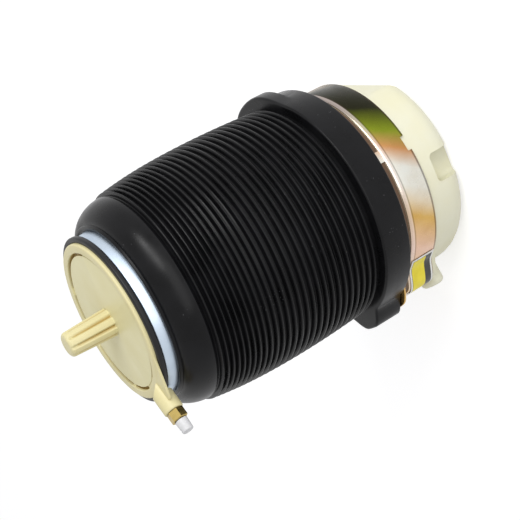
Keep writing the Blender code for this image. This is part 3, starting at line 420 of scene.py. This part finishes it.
def calc(tree, operation, *values, clamp=False):
    """The result of one Math node."""
    made = node(tree, "Math", dict(enumerate(values)), operation=operation)
    made.use_clamp = clamp
    return made.outputs[0]


def between(tree, value, start, end):
    """0 at the start value and 1 at the end value, in mm, held outside them."""
    made = node(tree, "MapRange", {"Value": value, "From Min": start * MM, "From Max": end * MM})
    return made.outputs["Result"]


def cap_painted_shade_and_tint(tree, place):
    """Painted shade in the cap's slots and the pin's grooves, and a little deeper tint on the rim and the
    pin.
    """
    parts = node(tree, "SeparateXYZ", {"Vector": place}).outputs
    height = parts["Z"]
    across = calc(tree, "MULTIPLY", parts["Y"], parts["Y"])
    radius = calc(tree, "SQRT", calc(tree, "MULTIPLY_ADD", parts["X"], parts["X"], across))
    crest = calc(tree, "MULTIPLY_ADD", height, -0.0442, 20.15 * MM)
    depth = calc(tree, "DIVIDE", calc(tree, "SUBTRACT", crest, radius), 1.6 * MM, clamp=True)
    along = calc(tree, "MULTIPLY", between(tree, height, 240.0, 240.6), between(tree, height, 269.0, 266.0))
    flutes = calc(tree, "MULTIPLY", depth, along)
    ring = calc(tree, "MULTIPLY", between(tree, radius, 45.9, 46.1), between(tree, radius, 48.6, 48.4))
    sunk = calc(tree, "MULTIPLY", between(tree, height, 239.7, 239.0), between(tree, height, 236.7, 236.9))
    slots = calc(tree, "MULTIPLY", ring, sunk)
    # a little deeper tint on the rim and the pin
    rim_and_pin_tint = calc(tree, "MAXIMUM", between(tree, radius, 48.2, 48.8), between(tree, height, 240.3, 241.5))
    # painted shade in the slots and down the pin's grooves
    recess_shade = calc(tree, "MULTIPLY", calc(tree, "MAXIMUM", flutes, slots), 0.85)
    return calc(tree, "MAXIMUM", recess_shade, calc(tree, "MULTIPLY", rim_and_pin_tint, 0.14))


def piston_painted_shade(tree, place):
    """Painted shade on the piston behind the slots of the steel ring."""
    height = node(tree, "SeparateXYZ", {"Vector": place}).outputs["Z"]
    return calc(tree, "MULTIPLY", between(tree, height, 52.6, 53.4), between(tree, height, 59.9, 59.4))


def make_nylon(name, main, shade, roughness, shading=None, deep=(0.45, 0.30, 0.07)):
    """Moulded nylon with slow blotches. shading gives the share of a deeper tone: painted shade in recesses
    and, on the cap, a little tint on the rim and the pin.
    """
    material, tree, surface, place = new_material(name, roughness)
    tone = mottled(tree, place, main, shade, 38.0, 0.45)
    colour = tone["Color"]
    if shading:
        colour = mixed_colour(tree, shading(tree, place), colour, (*deep, 1.0))
    tree.links.new(colour, surface["Base Color"])
    rough_between(tree, surface["Roughness"], tone["Value"], roughness - 0.06, roughness + 0.08)
    grain = placed_group(tree, GRAIN, Vector=place, Scale=1400.0, Waves=50.0)
    bumped(tree, surface["Normal"], grain["Height"], 0.03)
    return material


def make_rubber(name, roughness, specular, fleck_amount):
    material, tree, surface, place = new_material(name, roughness, IOR=1.5, Specular_IOR_Level=specular)
    tone = mottled(tree, place, (0.004, 0.004, 0.0045), (0.007, 0.007, 0.008), 55.0, 0.8)
    dust = placed_group(tree, FLECKS, Vector=place, Scale=520.0, Size=0.10, Amount=fleck_amount)
    dusty = mixed_colour(tree, dust["Mask"], tone["Color"], (0.16, 0.16, 0.17, 1.0))
    tree.links.new(dusty, surface["Base Color"])
    rough_between(tree, surface["Roughness"], tone["Value"], roughness - 0.05, roughness + 0.08)
    grain = placed_group(tree, GRAIN, Vector=place, Scale=1600.0, Waves=60.0)
    bumped(tree, surface["Normal"], grain["Height"], 0.02)
    return material


def make_aluminium(name, roughness):
    material, tree, surface, place = new_material(name, roughness, 1.0)
    tone = mottled(tree, place, (0.54, 0.62, 0.71), (0.45, 0.53, 0.63), 60.0, 0.5)
    tree.links.new(tone["Color"], surface["Base Color"])
    stretched = node(tree, "Mapping", {"Vector": place, "Scale": (1.0, 1.0, 30.0)})
    lines = placed_group(tree, GRAIN, Vector=stretched.outputs["Vector"], Scale=120.0, Waves=30.0)
    rough_between(tree, surface["Roughness"], tone["Value"], roughness - 0.05, roughness + 0.1)
    bumped(tree, surface["Normal"], lines["Height"], 0.01)
    return material


SILVER = (0.65, 0.65, 0.60)
STRAW = (0.65, 0.55, 0.20)
GOLD = (0.55, 0.35, 0.10)
COPPER = (0.50, 0.25, 0.10)
PEACH = (0.65, 0.45, 0.35)
GREEN = (0.20, 0.25, 0.02)
PAINTED_DARK_REFLECTION = (0.02, 0.02, 0.01)
# Chromate hues round the ring with painted reflection in them: the near-black and silver bands stand for dark
# and bright surroundings seen in the steel.
CHROMATE_AND_REFLECTIONS = (
    (0.00, GOLD),
    (0.12, SILVER),
    (0.25, COPPER),
    (0.40, STRAW),
    (0.54, PEACH),
    (0.60, GOLD),
    (0.65, SILVER),
    (0.68, SILVER),
    (0.71, COPPER),
    (0.74, GREEN),
    (0.79, PAINTED_DARK_REFLECTION),
    (0.88, PAINTED_DARK_REFLECTION),
    (1.00, GOLD),
)


def make_chromate(name):
    """Yellow chromate on steel: its film goes through gold, green, red and pink round the ring. Painted light
    lies on it: the near-black and silver bands of the ramp are painted reflection, the pale strip along the
    curled top edge of the band is a painted highlight, and the dark line under it a painted shadow.
    """
    material, tree, surface, place = new_material(name, 0.24, 1.0)
    parts = node(tree, "SeparateXYZ", {"Vector": place}).outputs
    turn = calc(tree, "ARCTAN2", parts["Y"], parts["X"])
    share = calc(tree, "FRACT", calc(tree, "MULTIPLY_ADD", turn, 1.0 / math.tau, 1.0))
    wander = node(tree, "TexNoise", {"Vector": place, "Scale": 40.0, "Detail": 4.0, "Distortion": 0.4})
    shift = node(tree, "MapRange", {"Value": wander.outputs["Fac"], "To Min": -0.008, "To Max": 0.008})
    height = parts["Z"]
    # the ramp, painted reflection and all, shifts with height
    climb = calc(tree, "MULTIPLY", calc(tree, "SUBTRACT", height, 42.0 * MM), -1.4)
    moved = calc(tree, "ADD", calc(tree, "ADD", share, shift.outputs["Result"]), climb)
    # film holds the chromate hue with painted reflection; painted highlight and shadow are mixed into it
    # below
    film = ramp(tree, moved, CHROMATE_AND_REFLECTIONS)
    tone = mottled(tree, place, WHITE[:3], (0.84, 0.76, 0.66), 70.0, 0.5)
    film = mixed_colour(tree, 1.0, film, tone["Color"], "MULTIPLY")
    flange = between(tree, height, 59.0, 59.5)
    film = mixed_colour(tree, calc(tree, "MULTIPLY", flange, 0.75), film, (0.52, 0.30, 0.07, 1.0))
    # painted highlight along the curled top edge of the band
    rolled_lip_highlight = calc(tree, "MULTIPLY", between(tree, height, 50.2, 50.7), between(tree, height, 53.3, 53.1))
    film = mixed_colour(tree, calc(tree, "MULTIPLY", rolled_lip_highlight, 0.55), film, (0.64, 0.54, 0.50, 1.0))
    # painted shadow under the curled top edge of the band, and a darker strip along the band's foot
    groove_shadow = calc(tree, "MULTIPLY", between(tree, height, 49.2, 49.6), between(tree, height, 50.5, 50.1))
    foot = calc(tree, "MULTIPLY", between(tree, height, 33.2, 32.8), 0.6)
    dark_lines = calc(tree, "MAXIMUM", calc(tree, "MULTIPLY", groove_shadow, 0.45), foot)
    film = mixed_colour(tree, dark_lines, film, (0.05, 0.035, 0.02, 1.0))
    tree.links.new(film, surface["Base Color"])
    rough_between(tree, surface["Roughness"], tone["Value"], 0.18, 0.34)
    around = node(tree, "Mapping", {"Vector": place, "Scale": (1.0, 1.0, 14.0)})
    lines = placed_group(tree, GRAIN, Vector=around.outputs["Vector"], Scale=160.0, Waves=24.0)
    bumped(tree, surface["Normal"], lines["Height"], 0.02)
    return material


def make_brass(name):
    material, tree, surface, place = new_material(name, 0.3, 1.0)
    tone = mottled(tree, place, (0.48, 0.36, 0.12), (0.30, 0.22, 0.07), 180.0, 0.7)
    tree.links.new(tone["Color"], surface["Base Color"])
    rough_between(tree, surface["Roughness"], tone["Value"], 0.22, 0.4)
    grain = placed_group(tree, GRAIN, Vector=place, Scale=2200.0, Waves=300.0)
    bumped(tree, surface["Normal"], grain["Height"], 0.01)
    return material


def make_plug_plastic(name):
    material, tree, surface, place = new_material(name, 0.45, Transmission_Weight=0.15, IOR=1.45)
    tone = mottled(tree, place, (0.72, 0.72, 0.73), (0.64, 0.64, 0.66), 160.0, 0.6)
    tree.links.new(tone["Color"], surface["Base Color"])
    rough_between(tree, surface["Roughness"], tone["Value"], 0.38, 0.5)
    grain = placed_group(tree, GRAIN, Vector=place, Scale=1800.0, Waves=200.0)
    bumped(tree, surface["Normal"], grain["Height"], 0.02)
    return material


def make_foam(name):
    material, tree, surface, place = new_material(name, 0.85)
    tone = mottled(tree, place, (0.55, 0.48, 0.28), (0.40, 0.33, 0.17), 240.0, 0.8)
    tree.links.new(tone["Color"], surface["Base Color"])
    grain = placed_group(tree, GRAIN, Vector=place, Scale=1500.0, Waves=500.0)
    bumped(tree, surface["Normal"], grain["Height"], 0.2)
    return material


def make_label(name):
    """A bare printed film: a white border, a thin line, a yellow field and a dark foot strip."""
    material, tree, surface, _ = new_material(name, 0.4)
    place = node(tree, "UVMap").outputs["UV"]
    parts = node(tree, "SeparateXYZ", {"Vector": place})

    def inside(margin):
        found = []
        for axis in ("X", "Y"):
            away = calc(tree, "ABSOLUTE", calc(tree, "SUBTRACT", parts.outputs[axis], 0.5))
            found.append(calc(tree, "LESS_THAN", away, 0.5 - margin[axis]))
        return calc(tree, "MULTIPLY", *found)

    line = inside({"X": 0.05, "Y": 0.07})
    field = inside({"X": 0.065, "Y": 0.09})
    low = calc(tree, "LESS_THAN", parts.outputs["Y"], 0.34)
    inner = mixed_colour(tree, low, (0.86, 0.72, 0.03, 1.0), (0.02, 0.02, 0.02, 1.0))
    framed = mixed_colour(tree, line, (0.82, 0.82, 0.80, 1.0), (0.03, 0.03, 0.03, 1.0))
    tone = mottled(tree, place, WHITE[:3], (0.8, 0.8, 0.78), 6.0, 0.5)
    whole = mixed_colour(tree, field, framed, inner)
    tree.links.new(mixed_colour(tree, 1.0, whole, tone["Color"], "MULTIPLY"), surface["Base Color"])
    rough_between(tree, surface["Roughness"], tone["Value"], 0.32, 0.5)
    return material


# the colour of the painted shade on the piston behind the steel ring's slots
SLOT_SHADE = (0.10, 0.05, 0.02)
NYLON = make_nylon("cream_nylon", (0.72, 0.67, 0.39), (0.66, 0.60, 0.32), 0.42, cap_painted_shade_and_tint)
PISTON_NYLON = make_nylon(
    "piston_nylon", (0.74, 0.73, 0.58), (0.73, 0.69, 0.44), 0.40, piston_painted_shade, SLOT_SHADE
)
RUBBER = make_rubber("boot_rubber", 0.28, 0.14, 0.62)
SLEEVE_RUBBER = make_rubber("sleeve_rubber", 0.42, 0.30, 0.68)
ALUMINIUM = make_aluminium("aluminium", 0.42)
STEEL = make_chromate("chromated_steel")
BRASS = make_brass("brass")
PLUG_PLASTIC = make_plug_plastic("plug_plastic")
FOAM = make_foam("foam_rubber")
LABEL = make_label("bare_label")


# Pieces

def make_pin():
    """The splined locating pin: eight wide ribs with narrow grooves that run out at the tip."""
    outline = rounded(
        [
            (0.0, SLOT_FLOOR, 0.0),
            (9.7, SLOT_FLOOR, 0.0),
            (9.6, 240.4, 0.0),
            (9.0, 256.0, 0.0),
            (8.2, PIN_TIP, 2.6),
            (0.0, PIN_TIP, 0.0),
        ],
        6,
    )
    pin = turned("pin", outline, 192, False)

    def fluted(angle, radius, height):
        run_out = min(max((PIN_TIP - height) / FLUTE_RUN_OUT, 0.0), 1.0)
        away = abs((angle * PIN_RIBS / 360.0 + 0.5) % 1.0 - 0.5) * 2.0
        across = max(0.0, 1.0 - away / 0.46)
        if radius < 3.0:
            return radius, height
        return radius - (1.8 * across ** 0.9 + 0.1) * run_out, height

    return pushed(pin, fluted)


def make_boss():
    """Port boss bored for the union. Its top slopes down to the rim and it clears the bead below."""
    outline = rounded(
        [
            (0.0, 52.0, 0.0),
            (BOSS_RADIUS, 52.0, 0.0),
            (BOSS_RADIUS, BOSS_END, 0.9),
            (4.35, BOSS_END, 0.3),
            (4.35, 60.0, 0.0),
            (0.0, 60.0, 0.0),
        ],
        3,
    )
    boss = on_port(turned("boss", outline, 64, False))
    above = [(51.0, 240.0), (64.0, 252.1), (51.0, 252.1)]
    carved(boss, turned("slope", above, 180))
    below = [(50.6, 200.0), (58.3, 200.0), (58.3, 237.1), (50.6, 237.1)]
    return carved(boss, turned("bead_room", below, 180))


def make_web():
    """The flat web that runs from the rim, over the bead, to the side of the port boss."""
    corners = [(-42.4, -33.2), (-61.8, -13.4), (-65.5, -8.6), (-65.5, -4.0), (-50.0, -4.0), (-50.0, -20.0)]
    web = drawn("web", [(x, y, WEB_FOOT) for x, y in corners], True)
    bpy.ops.mesh.edge_face_add()
    bpy.ops.mesh.select_all(action="SELECT")
    bpy.ops.mesh.extrude_region_move(TRANSFORM_OT_translate={"value": (0.0, 0.0, WEB_THICKNESS * MM)})
    return applied(sealed(web), "BEVEL", width=0.5 * MM, segments=2)


def make_cap():
    """Moulded cap: rim, grooved face with uneven arc slots, neck, pin and port boss."""
    outline = rounded(
        [
            (0.0, CAP_FACE, 0.0),
            (46.3, CAP_FACE, 0.2),
            (46.4, GROOVE_FLOOR, 0.1),
            (48.1, GROOVE_FLOOR, 0.1),
            (48.2, RIM_TOP, 0.8),
            (CAP_RADIUS, RIM_TOP, 1.3),
            (CAP_RADIUS, 236.8, 0.5),
            (51.0, 236.8, 0.2),
            (51.0, 221.6, 0.6),
            (47.4, 221.6, 0.6),
            (47.4, 233.0, 1.2),
            (0.0, 233.0, 0.0),
        ]
    )
    cap = turned("cap_moulding", outline, 180, False)
    over = CAP_FACE + 0.6
    slot = [(SLOT_INSIDE, SLOT_FLOOR), (SLOT_OUTSIDE, SLOT_FLOOR), (SLOT_OUTSIDE, over), (SLOT_INSIDE, over)]
    for place, (start, end) in enumerate(SLOT_ARCS):
        carved(cap, sector(f"slot_{place}", slot, start, end, 24))
    carved(cap, make_pin(), "UNION")
    carved(cap, make_boss(), "UNION")
    carved(cap, make_web(), "UNION")
    return finished(cap, NYLON, "cream_nylon", "cap", "top_cap")


def make_crimp():
    outline = rounded(
        [
            (53.6, 222.0, 0.2),
            (56.9, 222.0, 0.5),
            (56.9, 228.4, 6.0),
            (56.0, 234.7, 0.6),
            (53.6, 234.7, 0.2),
        ]
    )
    ring = turned("crimp_ring", outline, 144)
    return finished(ring, ALUMINIUM, "aluminium", "cap", "top_crimp_ring")


def make_sleeve():
    """Rolling sleeve: the bead under the cap's rim, the outer leg, the fold and the inner leg."""
    outer = rounded(
        [
            (51.3, 236.5, 0.0),
            (54.5, 236.5, 0.0),
            (54.5, 238.9, 0.4),
            (57.8, 238.9, 1.3),
            (57.8, 235.0, 1.2),
            (53.3, 235.0, 0.3),
            (53.3, 222.0, 0.0),
            (60.1, 210.8, 0.0),
        ]
    )
    fold = []
    for step in range(13):
        angle = -math.pi * step / 12
        fold.append((52.7 + 7.4 * math.cos(angle), 125.2 + 7.4 * math.sin(angle)))
    back = [(45.3, 141.7), (41.3, 146.0), (41.3, 155.0), (43.3, 155.0), (43.3, 146.0), (47.3, 141.7)]
    inner = []
    for step in range(13):
        angle = -math.pi + math.pi * step / 12
        inner.append((52.7 + 5.4 * math.cos(angle), 125.2 + 5.4 * math.sin(angle)))
    up = [(58.1, 210.8), (51.3, 222.0)]
    sleeve = turned("sleeve_rubber", outer + fold + back + inner + up, 180)
    relief = [(54.2, 236.8), (59.0, 236.8), (59.0, 240.0), (54.2, 240.0)]
    carved(sleeve, sector("port_relief", relief, 172.8, 187.2, 8))
    finished(sleeve, SLEEVE_RUBBER, "black_rubber", None, "air_sleeve")
    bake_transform(sleeve)
    return sleeve


def crest_radius(share):
    slope = -3 * CREST_TOP + 4 * CREST_MIDDLE - CREST_FOOT
    bend = 2 * CREST_TOP - 4 * CREST_MIDDLE + 2 * CREST_FOOT
    return CREST_TOP + slope * share + bend * share * share


def ridge_outline(top, bottom):
    """Rounded ridges from top to bottom. They crowd together near the cap."""
    pitches = []
    for place in range(RIDGES + 1):
        share = min(max((place - RIDGES * 0.2) / (RIDGES * 0.35), 0.0), 1.0)
        pitches.append(0.72 + 0.28 * share)
    unit = (top - bottom) / sum(pitches)
    points = []
    height = top
    shape = ((0.74, 0.0), (0.54, 0.12), (0.45, 0.50), (0.34, 0.80), (0.18, 0.96), (0.0, 1.0))
    for place, pitch in enumerate(pitches[:-1]):
        height -= pitch * unit
        crest = crest_radius(place / (RIDGES - 1))
        above = pitch * unit / 2
        below = pitches[place + 1] * unit / 2
        root = crest - RIDGE_DEPTH
        points += [(root + RIDGE_DEPTH * rise, height + above * away) for away, rise in shape]
        points += [(root + RIDGE_DEPTH * rise, height - below * away) for away, rise in shape[-2::-1]]
    return points


def make_boot():
    """Corrugated dust boot: lip, glossy shoulder, ridges, and a collar with two ears."""
    lip = rounded(
        [
            (57.2, 228.5, 0.3),
            (60.4, 228.5, 0.5),
            (61.0, 226.9, 0.2),
            (61.6, 226.9, 0.0),
        ]
    )
    shoulder = []
    for step in range(1, 13):
        angle = math.radians(90.0 - 7.5 * step)
        across, up = (abs(share) ** 1.176 for share in (math.cos(angle), math.sin(angle)))
        shoulder.append((61.6 + 10.4 * across, SHOULDER_FOOT + 17.2 * up))
    collar = rounded(
        [
            (73.7, 84.2, 0.0),
            (73.7, 82.9, 0.0),
            (78.2, COLLAR_TOP, 0.0),
            (COLLAR_RADIUS, COLLAR_TOP, 1.6),
            (COLLAR_RADIUS, 74.5, 0.0),
            (COLLAR_RADIUS, 73.0, 0.0),
            (COLLAR_RADIUS, 71.8, 0.0),
            (COLLAR_RADIUS, COLLAR_FOOT, 1.3),
            (77.5, COLLAR_FOOT, 0.0),
        ]
    )
    inside = [
        (77.5, 79.3),
        (71.9, 83.8),
        (73.2, 105.0),
        (73.5, 140.0),
        (72.0, 170.0),
        (69.0, 200.0),
        (67.5, SHOULDER_FOOT),
        (62.1, 214.0),
        (58.9, 222.0),
        (58.9, 227.5),
        (57.2, 227.5),
    ]
    outline = lip + shoulder + ridge_outline(SHOULDER_FOOT, COLLAR_TOP) + collar + inside
    boot = turned("boot_rubber", outline, 216)

    def with_ears(angle, radius, height):
        if radius < 78.0 or height > 83.1:
            return radius, height
        bump = EAR_REACH * fade(angle, LOBE_ANGLE, 3.5, 15.0)
        if height > 72.5:
            bump += SECOND_EAR_REACH * fade(angle, SECOND_EAR_ANGLE, 7.0, 35.0)
        return radius + bump, height

    pushed(boot, with_ears)
    finished(boot, RUBBER, "black_rubber", None, "dust_boot")
    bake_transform(boot)
    return boot


def make_ring():
    """Sheet steel band and flange, with three tabs across the slot between them."""
    outline = rounded(
        [
            (69.3, FLANGE_TOP, 0.0),
            (69.3, FLANGE_FOOT, 0.0),
            (71.0, FLANGE_FOOT, 0.3),
            (71.0, BAND_TOP, 0.0),
            (71.0, BAND_FOOT, 0.3),
            (BAND_RADIUS, BAND_FOOT, 0.4),
            (BAND_RADIUS, 51.4, 0.0),
            (71.9, 52.5, 0.0),
            (71.6, BAND_TOP, 0.0),
            (71.6, FLANGE_FOOT, 0.2),
            (77.4, FLANGE_FOOT, 0.5),
            (77.4, FLANGE_TOP, 0.5),
        ],
        3,
    )
    ring = turned("steel_ring", outline, 288)
    half_tab = math.degrees(4.0 / BAND_RADIUS)
    half_notch = math.degrees(5.25 / BAND_RADIUS)
    for place, tab in enumerate(TAB_ANGLES):
        slot = [(70.0, BAND_TOP), (74.0, BAND_TOP), (74.0, FLANGE_FOOT), (70.0, FLANGE_FOOT)]
        carved(ring, sector(f"slot_{place}", slot, tab + half_tab, tab + 120.0 - half_tab, 72))
        notch = [(70.0, 30.0), (74.0, 30.0), (74.0, 34.5), (70.0, 34.5)]
        carved(ring, sector(f"notch_{place}", notch, tab - half_notch, tab + half_notch, 6))

    def with_lobe(angle, radius, height):
        if radius < 70.2:
            return radius, height
        return radius + LOBE_REACH * lobe(angle), height

    pushed(ring, with_lobe)
    return finished(ring, STEEL, "chromated_steel", "piston", "retaining_ring")


def make_label_sheet():
    """Bare label film on the flank of the ring's lobe, with a UV map along and up the film."""
    alone()
    bpy.ops.mesh.primitive_grid_add(x_subdivisions=30, y_subdivisions=8, size=1.0)
    sheet = bpy.context.object
    sheet.name = "bare_label_film"
    for vertex in sheet.data.vertices:
        along, up = vertex.co.x + 0.5, vertex.co.y + 0.5
        angle = 165.0 + 25.0 * along
        radius = BAND_RADIUS + 0.32 + LOBE_REACH * lobe(angle)
        turn = math.radians(angle)
        vertex.co = Vector((radius * math.cos(turn), radius * math.sin(turn), 32.6 + 19.2 * up)) * MM
    applied(sheet, "SOLIDIFY", thickness=0.3 * MM, offset=1.0)
    alone(sheet)
    bpy.ops.object.mode_set(mode="EDIT")
    sealed(sheet)
    return finished(sheet, LABEL, "label_film", "piston", "label_sheet")


def make_lug():
    """The rounded lug below the ring, with its blind hole, along +Z before it is laid on the lobe."""
    outline = rounded(
        [
            (0.0, 67.5, 0.0),
            (LUG_RADIUS, 67.5, 0.0),
            (LUG_RADIUS, LUG_REACH, 3.4),
            (1.3, LUG_REACH, 0.3),
            (1.3, 83.4, 0.0),
            (0.0, 83.4, 0.0),
        ],
        5,
    )
    lug = turned("lug", outline, 64, False)
    alone(lug)
    lug.scale = (1.0, 1.35, 1.0)
    lug.rotation_euler = (0.0, math.radians(90.0), math.radians(LOBE_ANGLE))
    lug.location = (0.0, 0.0, LUG_HEIGHT * MM)
    bpy.ops.object.transform_apply(location=True, rotation=True, scale=True)
    return lug


def make_keyway():
    """The block that cuts the rounded notch in the piston's foot."""
    alone()
    bpy.ops.mesh.primitive_cube_add(size=MM)
    block = bpy.context.object
    block.scale = KEYWAY_BLOCK
    bpy.ops.object.transform_apply(location=True, rotation=True, scale=True)
    applied(block, "BEVEL", width=3.6 * MM, segments=5)
    block.location = (SKIRT_RADIUS * MM, 0.0, (KEYWAY_TOP - KEYWAY_BLOCK[2] / 2) * MM)
    bpy.ops.object.transform_apply(location=True, rotation=True, scale=True)
    keyway = copied(block, KEYWAY_ANGLE)
    bpy.data.objects.remove(block)
    return keyway


def make_piston():
    """Piston moulding: rounded foot, lobe, lug, keyway, sleeve channel and ribbed underside."""
    outline = rounded(
        [
            (0.0, 0.0, 0.0),
            (SKIRT_RADIUS, 0.0, 14.0),
            (SKIRT_RADIUS, 16.0, 0.0),
            (SKIRT_RADIUS, 17.3, 0.0),
            (SKIRT_RADIUS, 18.7, 0.0),
            (SKIRT_RADIUS, 20.0, 0.0),
            (SKIRT_RADIUS, 24.0, 0.0),
            (SKIRT_RADIUS, 25.3, 0.0),
            (SKIRT_RADIUS, 26.6, 0.0),
            (SKIRT_RADIUS, 27.2, 0.0),
            (SKIRT_RADIUS, 27.9, 0.0),
            (SKIRT_RADIUS, 28.6, 0.0),
            (SKIRT_RADIUS, 59.4, 0.3),
            (69.0, 59.4, 0.2),
            (69.0, 79.0, 0.6),
            (66.5, 79.0, 0.6),
            (66.5, 32.0, 0.8),
            (57.5, 32.0, 0.8),
            (57.5, 62.0, 0.6),
            (41.7, 62.0, 0.3),
            (41.7, 68.0, 0.5),
            (37.7, 68.0, 0.5),
            (37.7, 62.0, 0.5),
            (0.0, 62.0, 0.0),
        ],
        8,
    )
    piston = turned("piston_moulding", outline, 216, False)

    def with_lobe(angle, radius, height):
        facing = math.cos(math.radians(angle - FLAT_ANGLE))
        if 0.0 < height < FLAT_TOP and facing > 0.0:
            ledge = min(max((FLAT_TOP - height) / 1.5, 0.0), 1.0)
            flat = min(radius, (radius - FLAT_DEPTH) / facing)
            radius += (flat - radius) * ledge
        if radius < 69.5:
            return radius, height
        rise = min(max((height - LOBE_FOOT) / 4.0, 0.0), 1.0)
        return radius + LOBE_REACH * lobe(angle) * rise * rise * (3.0 - 2.0 * rise), height

    pushed(piston, with_lobe)
    pockets = []
    for inner, outer, count in ((17.0, 33.5, 6), (36.5, 53.0, 12)):
        side = math.degrees(1.5 / ((inner + outer) / 2))
        corners = [(inner, -1.0, 0.0), (outer, -1.0, 0.0), (outer, 57.0, 1.5), (inner, 57.0, 1.5)]
        shape = rounded(corners, 3)
        first = sector("pocket", shape, side, 360.0 / count - side, 12)
        pockets += [first] + [copied(first, 360.0 / count * place) for place in range(1, count)]
    carved(piston, gathered(pockets))
    carved(piston, make_keyway())
    carved(piston, make_lug(), "UNION")
    return finished(piston, PISTON_NYLON, "cream_nylon", "piston", "piston_base")


def make_union():
    """Hexagonal union with chamfered corners, a shank in the boss and an open bore."""
    outline = rounded(
        [
            (1.4, 60.8, 0.0),
            (4.0, 60.8, 0.2),
            (4.0, BOSS_END + 0.3, 0.0),
            (5.77, BOSS_END + 0.3, 0.0),
            (5.77, 77.2, 0.0),
            (5.2, 77.7, 0.0),
            (3.3, 77.7, 0.0),
            (2.3, 76.5, 0.0),
            (2.3, 70.0, 0.0),
            (1.4, 70.0, 0.0),
        ],
        3,
    )
    piece = turned("brass_union", outline, 96)

    def six_sided(angle, radius, height):
        if radius < 4.3:
            return radius, height
        flat = math.radians((angle + 30.0) % 60.0 - 30.0)
        return HEXAGON_FLAT / math.cos(flat) - max(0.0, 5.77 - radius), height

    pushed(piece, six_sided)
    on_port(piece)
    return finished(piece, BRASS, "brass", "cap", "port_union", angle=20.0)


def make_plug():
    """Translucent transport plug with a tapered head and a stem in the union."""
    outline = rounded(
        [
            (0.0, 70.2, 0.0),
            (1.8, 70.2, 0.4),
            (1.8, 78.0, 0.0),
            (4.2, 78.0, 0.3),
            (3.8, 86.2, 0.8),
            (0.0, 86.2, 0.0),
        ],
        5,
    )
    piece = on_port(turned("white_plug", outline, 64, False))
    return finished(piece, PLUG_PLASTIC, "white_plastic", "plug", "transport_plug")


make_cap()
make_crimp()
make_sleeve()
make_boot()
make_ring()
make_label_sheet()
make_piston()
make_union()
make_plug()

HIDDEN_FINISHES = {
    "boot_retainer": RUBBER,
    "piston_barrel": PISTON_NYLON,
    "piston_crown": PISTON_NYLON,
    "lower_crimp_ring": ALUMINIUM,
    "bump_stop": FOAM,
    "bump_stop_stud": STEEL,
    "guide_tube": ALUMINIUM,
    "union_seal": SLEEVE_RUBBER,
    "tube_seal": SLEEVE_RUBBER,
    "grip_ring": BRASS,
    "residual_valve": SLEEVE_RUBBER,
}
for name, finish in HIDDEN_FINISHES.items():
    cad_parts[name].data.materials.clear()
    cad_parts[name].data.materials.append(finish)


# Floor, light and camera

def seen_by_eye(tree):
    """1 for what the camera sees, directly, in a mirror or through clear plastic, else 0."""
    paths = node(tree, "LightPath").outputs
    seen = calc(tree, "MAXIMUM", paths["Is Camera Ray"], paths["Is Glossy Ray"])
    return calc(tree, "MAXIMUM", seen, paths["Is Transmission Ray"])


def make_floor():
    alone()
    bpy.ops.mesh.primitive_circle_add(vertices=96, radius=6.0, fill_type="NGON", location=(0.0, 0.0, -0.0006))
    floor = bpy.context.object
    floor.name = "floor"
    bpy.ops.object.transform_apply(location=True, rotation=True, scale=True)
    material = bpy.data.materials.new("floor")
    material.use_nodes = True
    tree = material.node_tree
    tree.nodes.clear()
    matt = node(tree, "BsdfDiffuse", {"Color": (0.74, 0.74, 0.75, 1.0)})
    glow = node(tree, "Emission", {"Color": WHITE, "Strength": 0.5})
    dim = node(tree, "MixShader", {"Fac": seen_by_eye(tree)})
    both = node(tree, "AddShader", {0: matt.outputs[0], 1: glow.outputs[0]})
    tree.links.new(matt.outputs[0], dim.inputs[1])
    tree.links.new(both.outputs[0], dim.inputs[2])
    tree.links.new(dim.outputs[0], node(tree, "OutputMaterial").inputs["Surface"])
    floor.data.materials.append(material)


def make_world():
    world = bpy.data.worlds.new("studio")
    bpy.context.scene.world = world
    world.use_nodes = True
    tree = world.node_tree
    tree.nodes.clear()
    air = node(tree, "Background", {"Color": WHITE, "Strength": 0.66})
    back = node(tree, "Background", {"Color": WHITE, "Strength": 1.0})
    both = node(tree, "MixShader", {"Fac": seen_by_eye(tree)})
    tree.links.new(air.outputs[0], both.inputs[1])
    tree.links.new(back.outputs[0], both.inputs[2])
    tree.links.new(both.outputs[0], node(tree, "OutputWorld").inputs["Surface"])


def make_camera():
    lens = bpy.data.cameras.new("camera")
    lens.lens = 83.08
    lens.sensor_width = 36.0
    lens.clip_start = 0.01
    camera = bpy.data.objects.new("camera", lens)
    bpy.context.scene.collection.objects.link(camera)
    camera.location = (-0.27101, -0.67224, 0.45211)
    camera.rotation_euler = [math.radians(turn) for turn in (-47.803, 52.8, -165.164)]
    bpy.context.scene.camera = camera
    bpy.context.view_layer.update()
    return camera


def make_softbox(name, place, width, height, watts):
    """A large area light that faces the middle of the spring."""
    lamp = bpy.data.lights.new(name, "AREA")
    lamp.shape = "RECTANGLE"
    lamp.size = width
    lamp.size_y = height
    lamp.energy = watts
    box = bpy.data.objects.new(name, lamp)
    bpy.context.scene.collection.objects.link(box)
    box.location = place
    aim = Vector((0.0, 0.0, 0.12)) - Vector(place)
    box.rotation_euler = aim.to_track_quat("-Z", "Y").to_euler()
    return box


make_floor()
make_world()
camera = make_camera()
_, up, back = (camera.matrix_world.to_3x3().col[place] for place in range(3))
side = Vector((up.x, up.y, 0.0)).normalized()
front = Vector((back.x, back.y, 0.0)).normalized()
make_softbox("key", (side * 0.75 + front * 0.65) * 1.15 + Vector((0.0, 0.0, 0.68)), 0.9, 0.22, 9.0)
make_softbox("fill", front * 1.2 + Vector((0.0, 0.0, 0.4)), 1.2, 0.5, 4.0)

bpy.context.scene.view_settings.view_transform = "Standard"
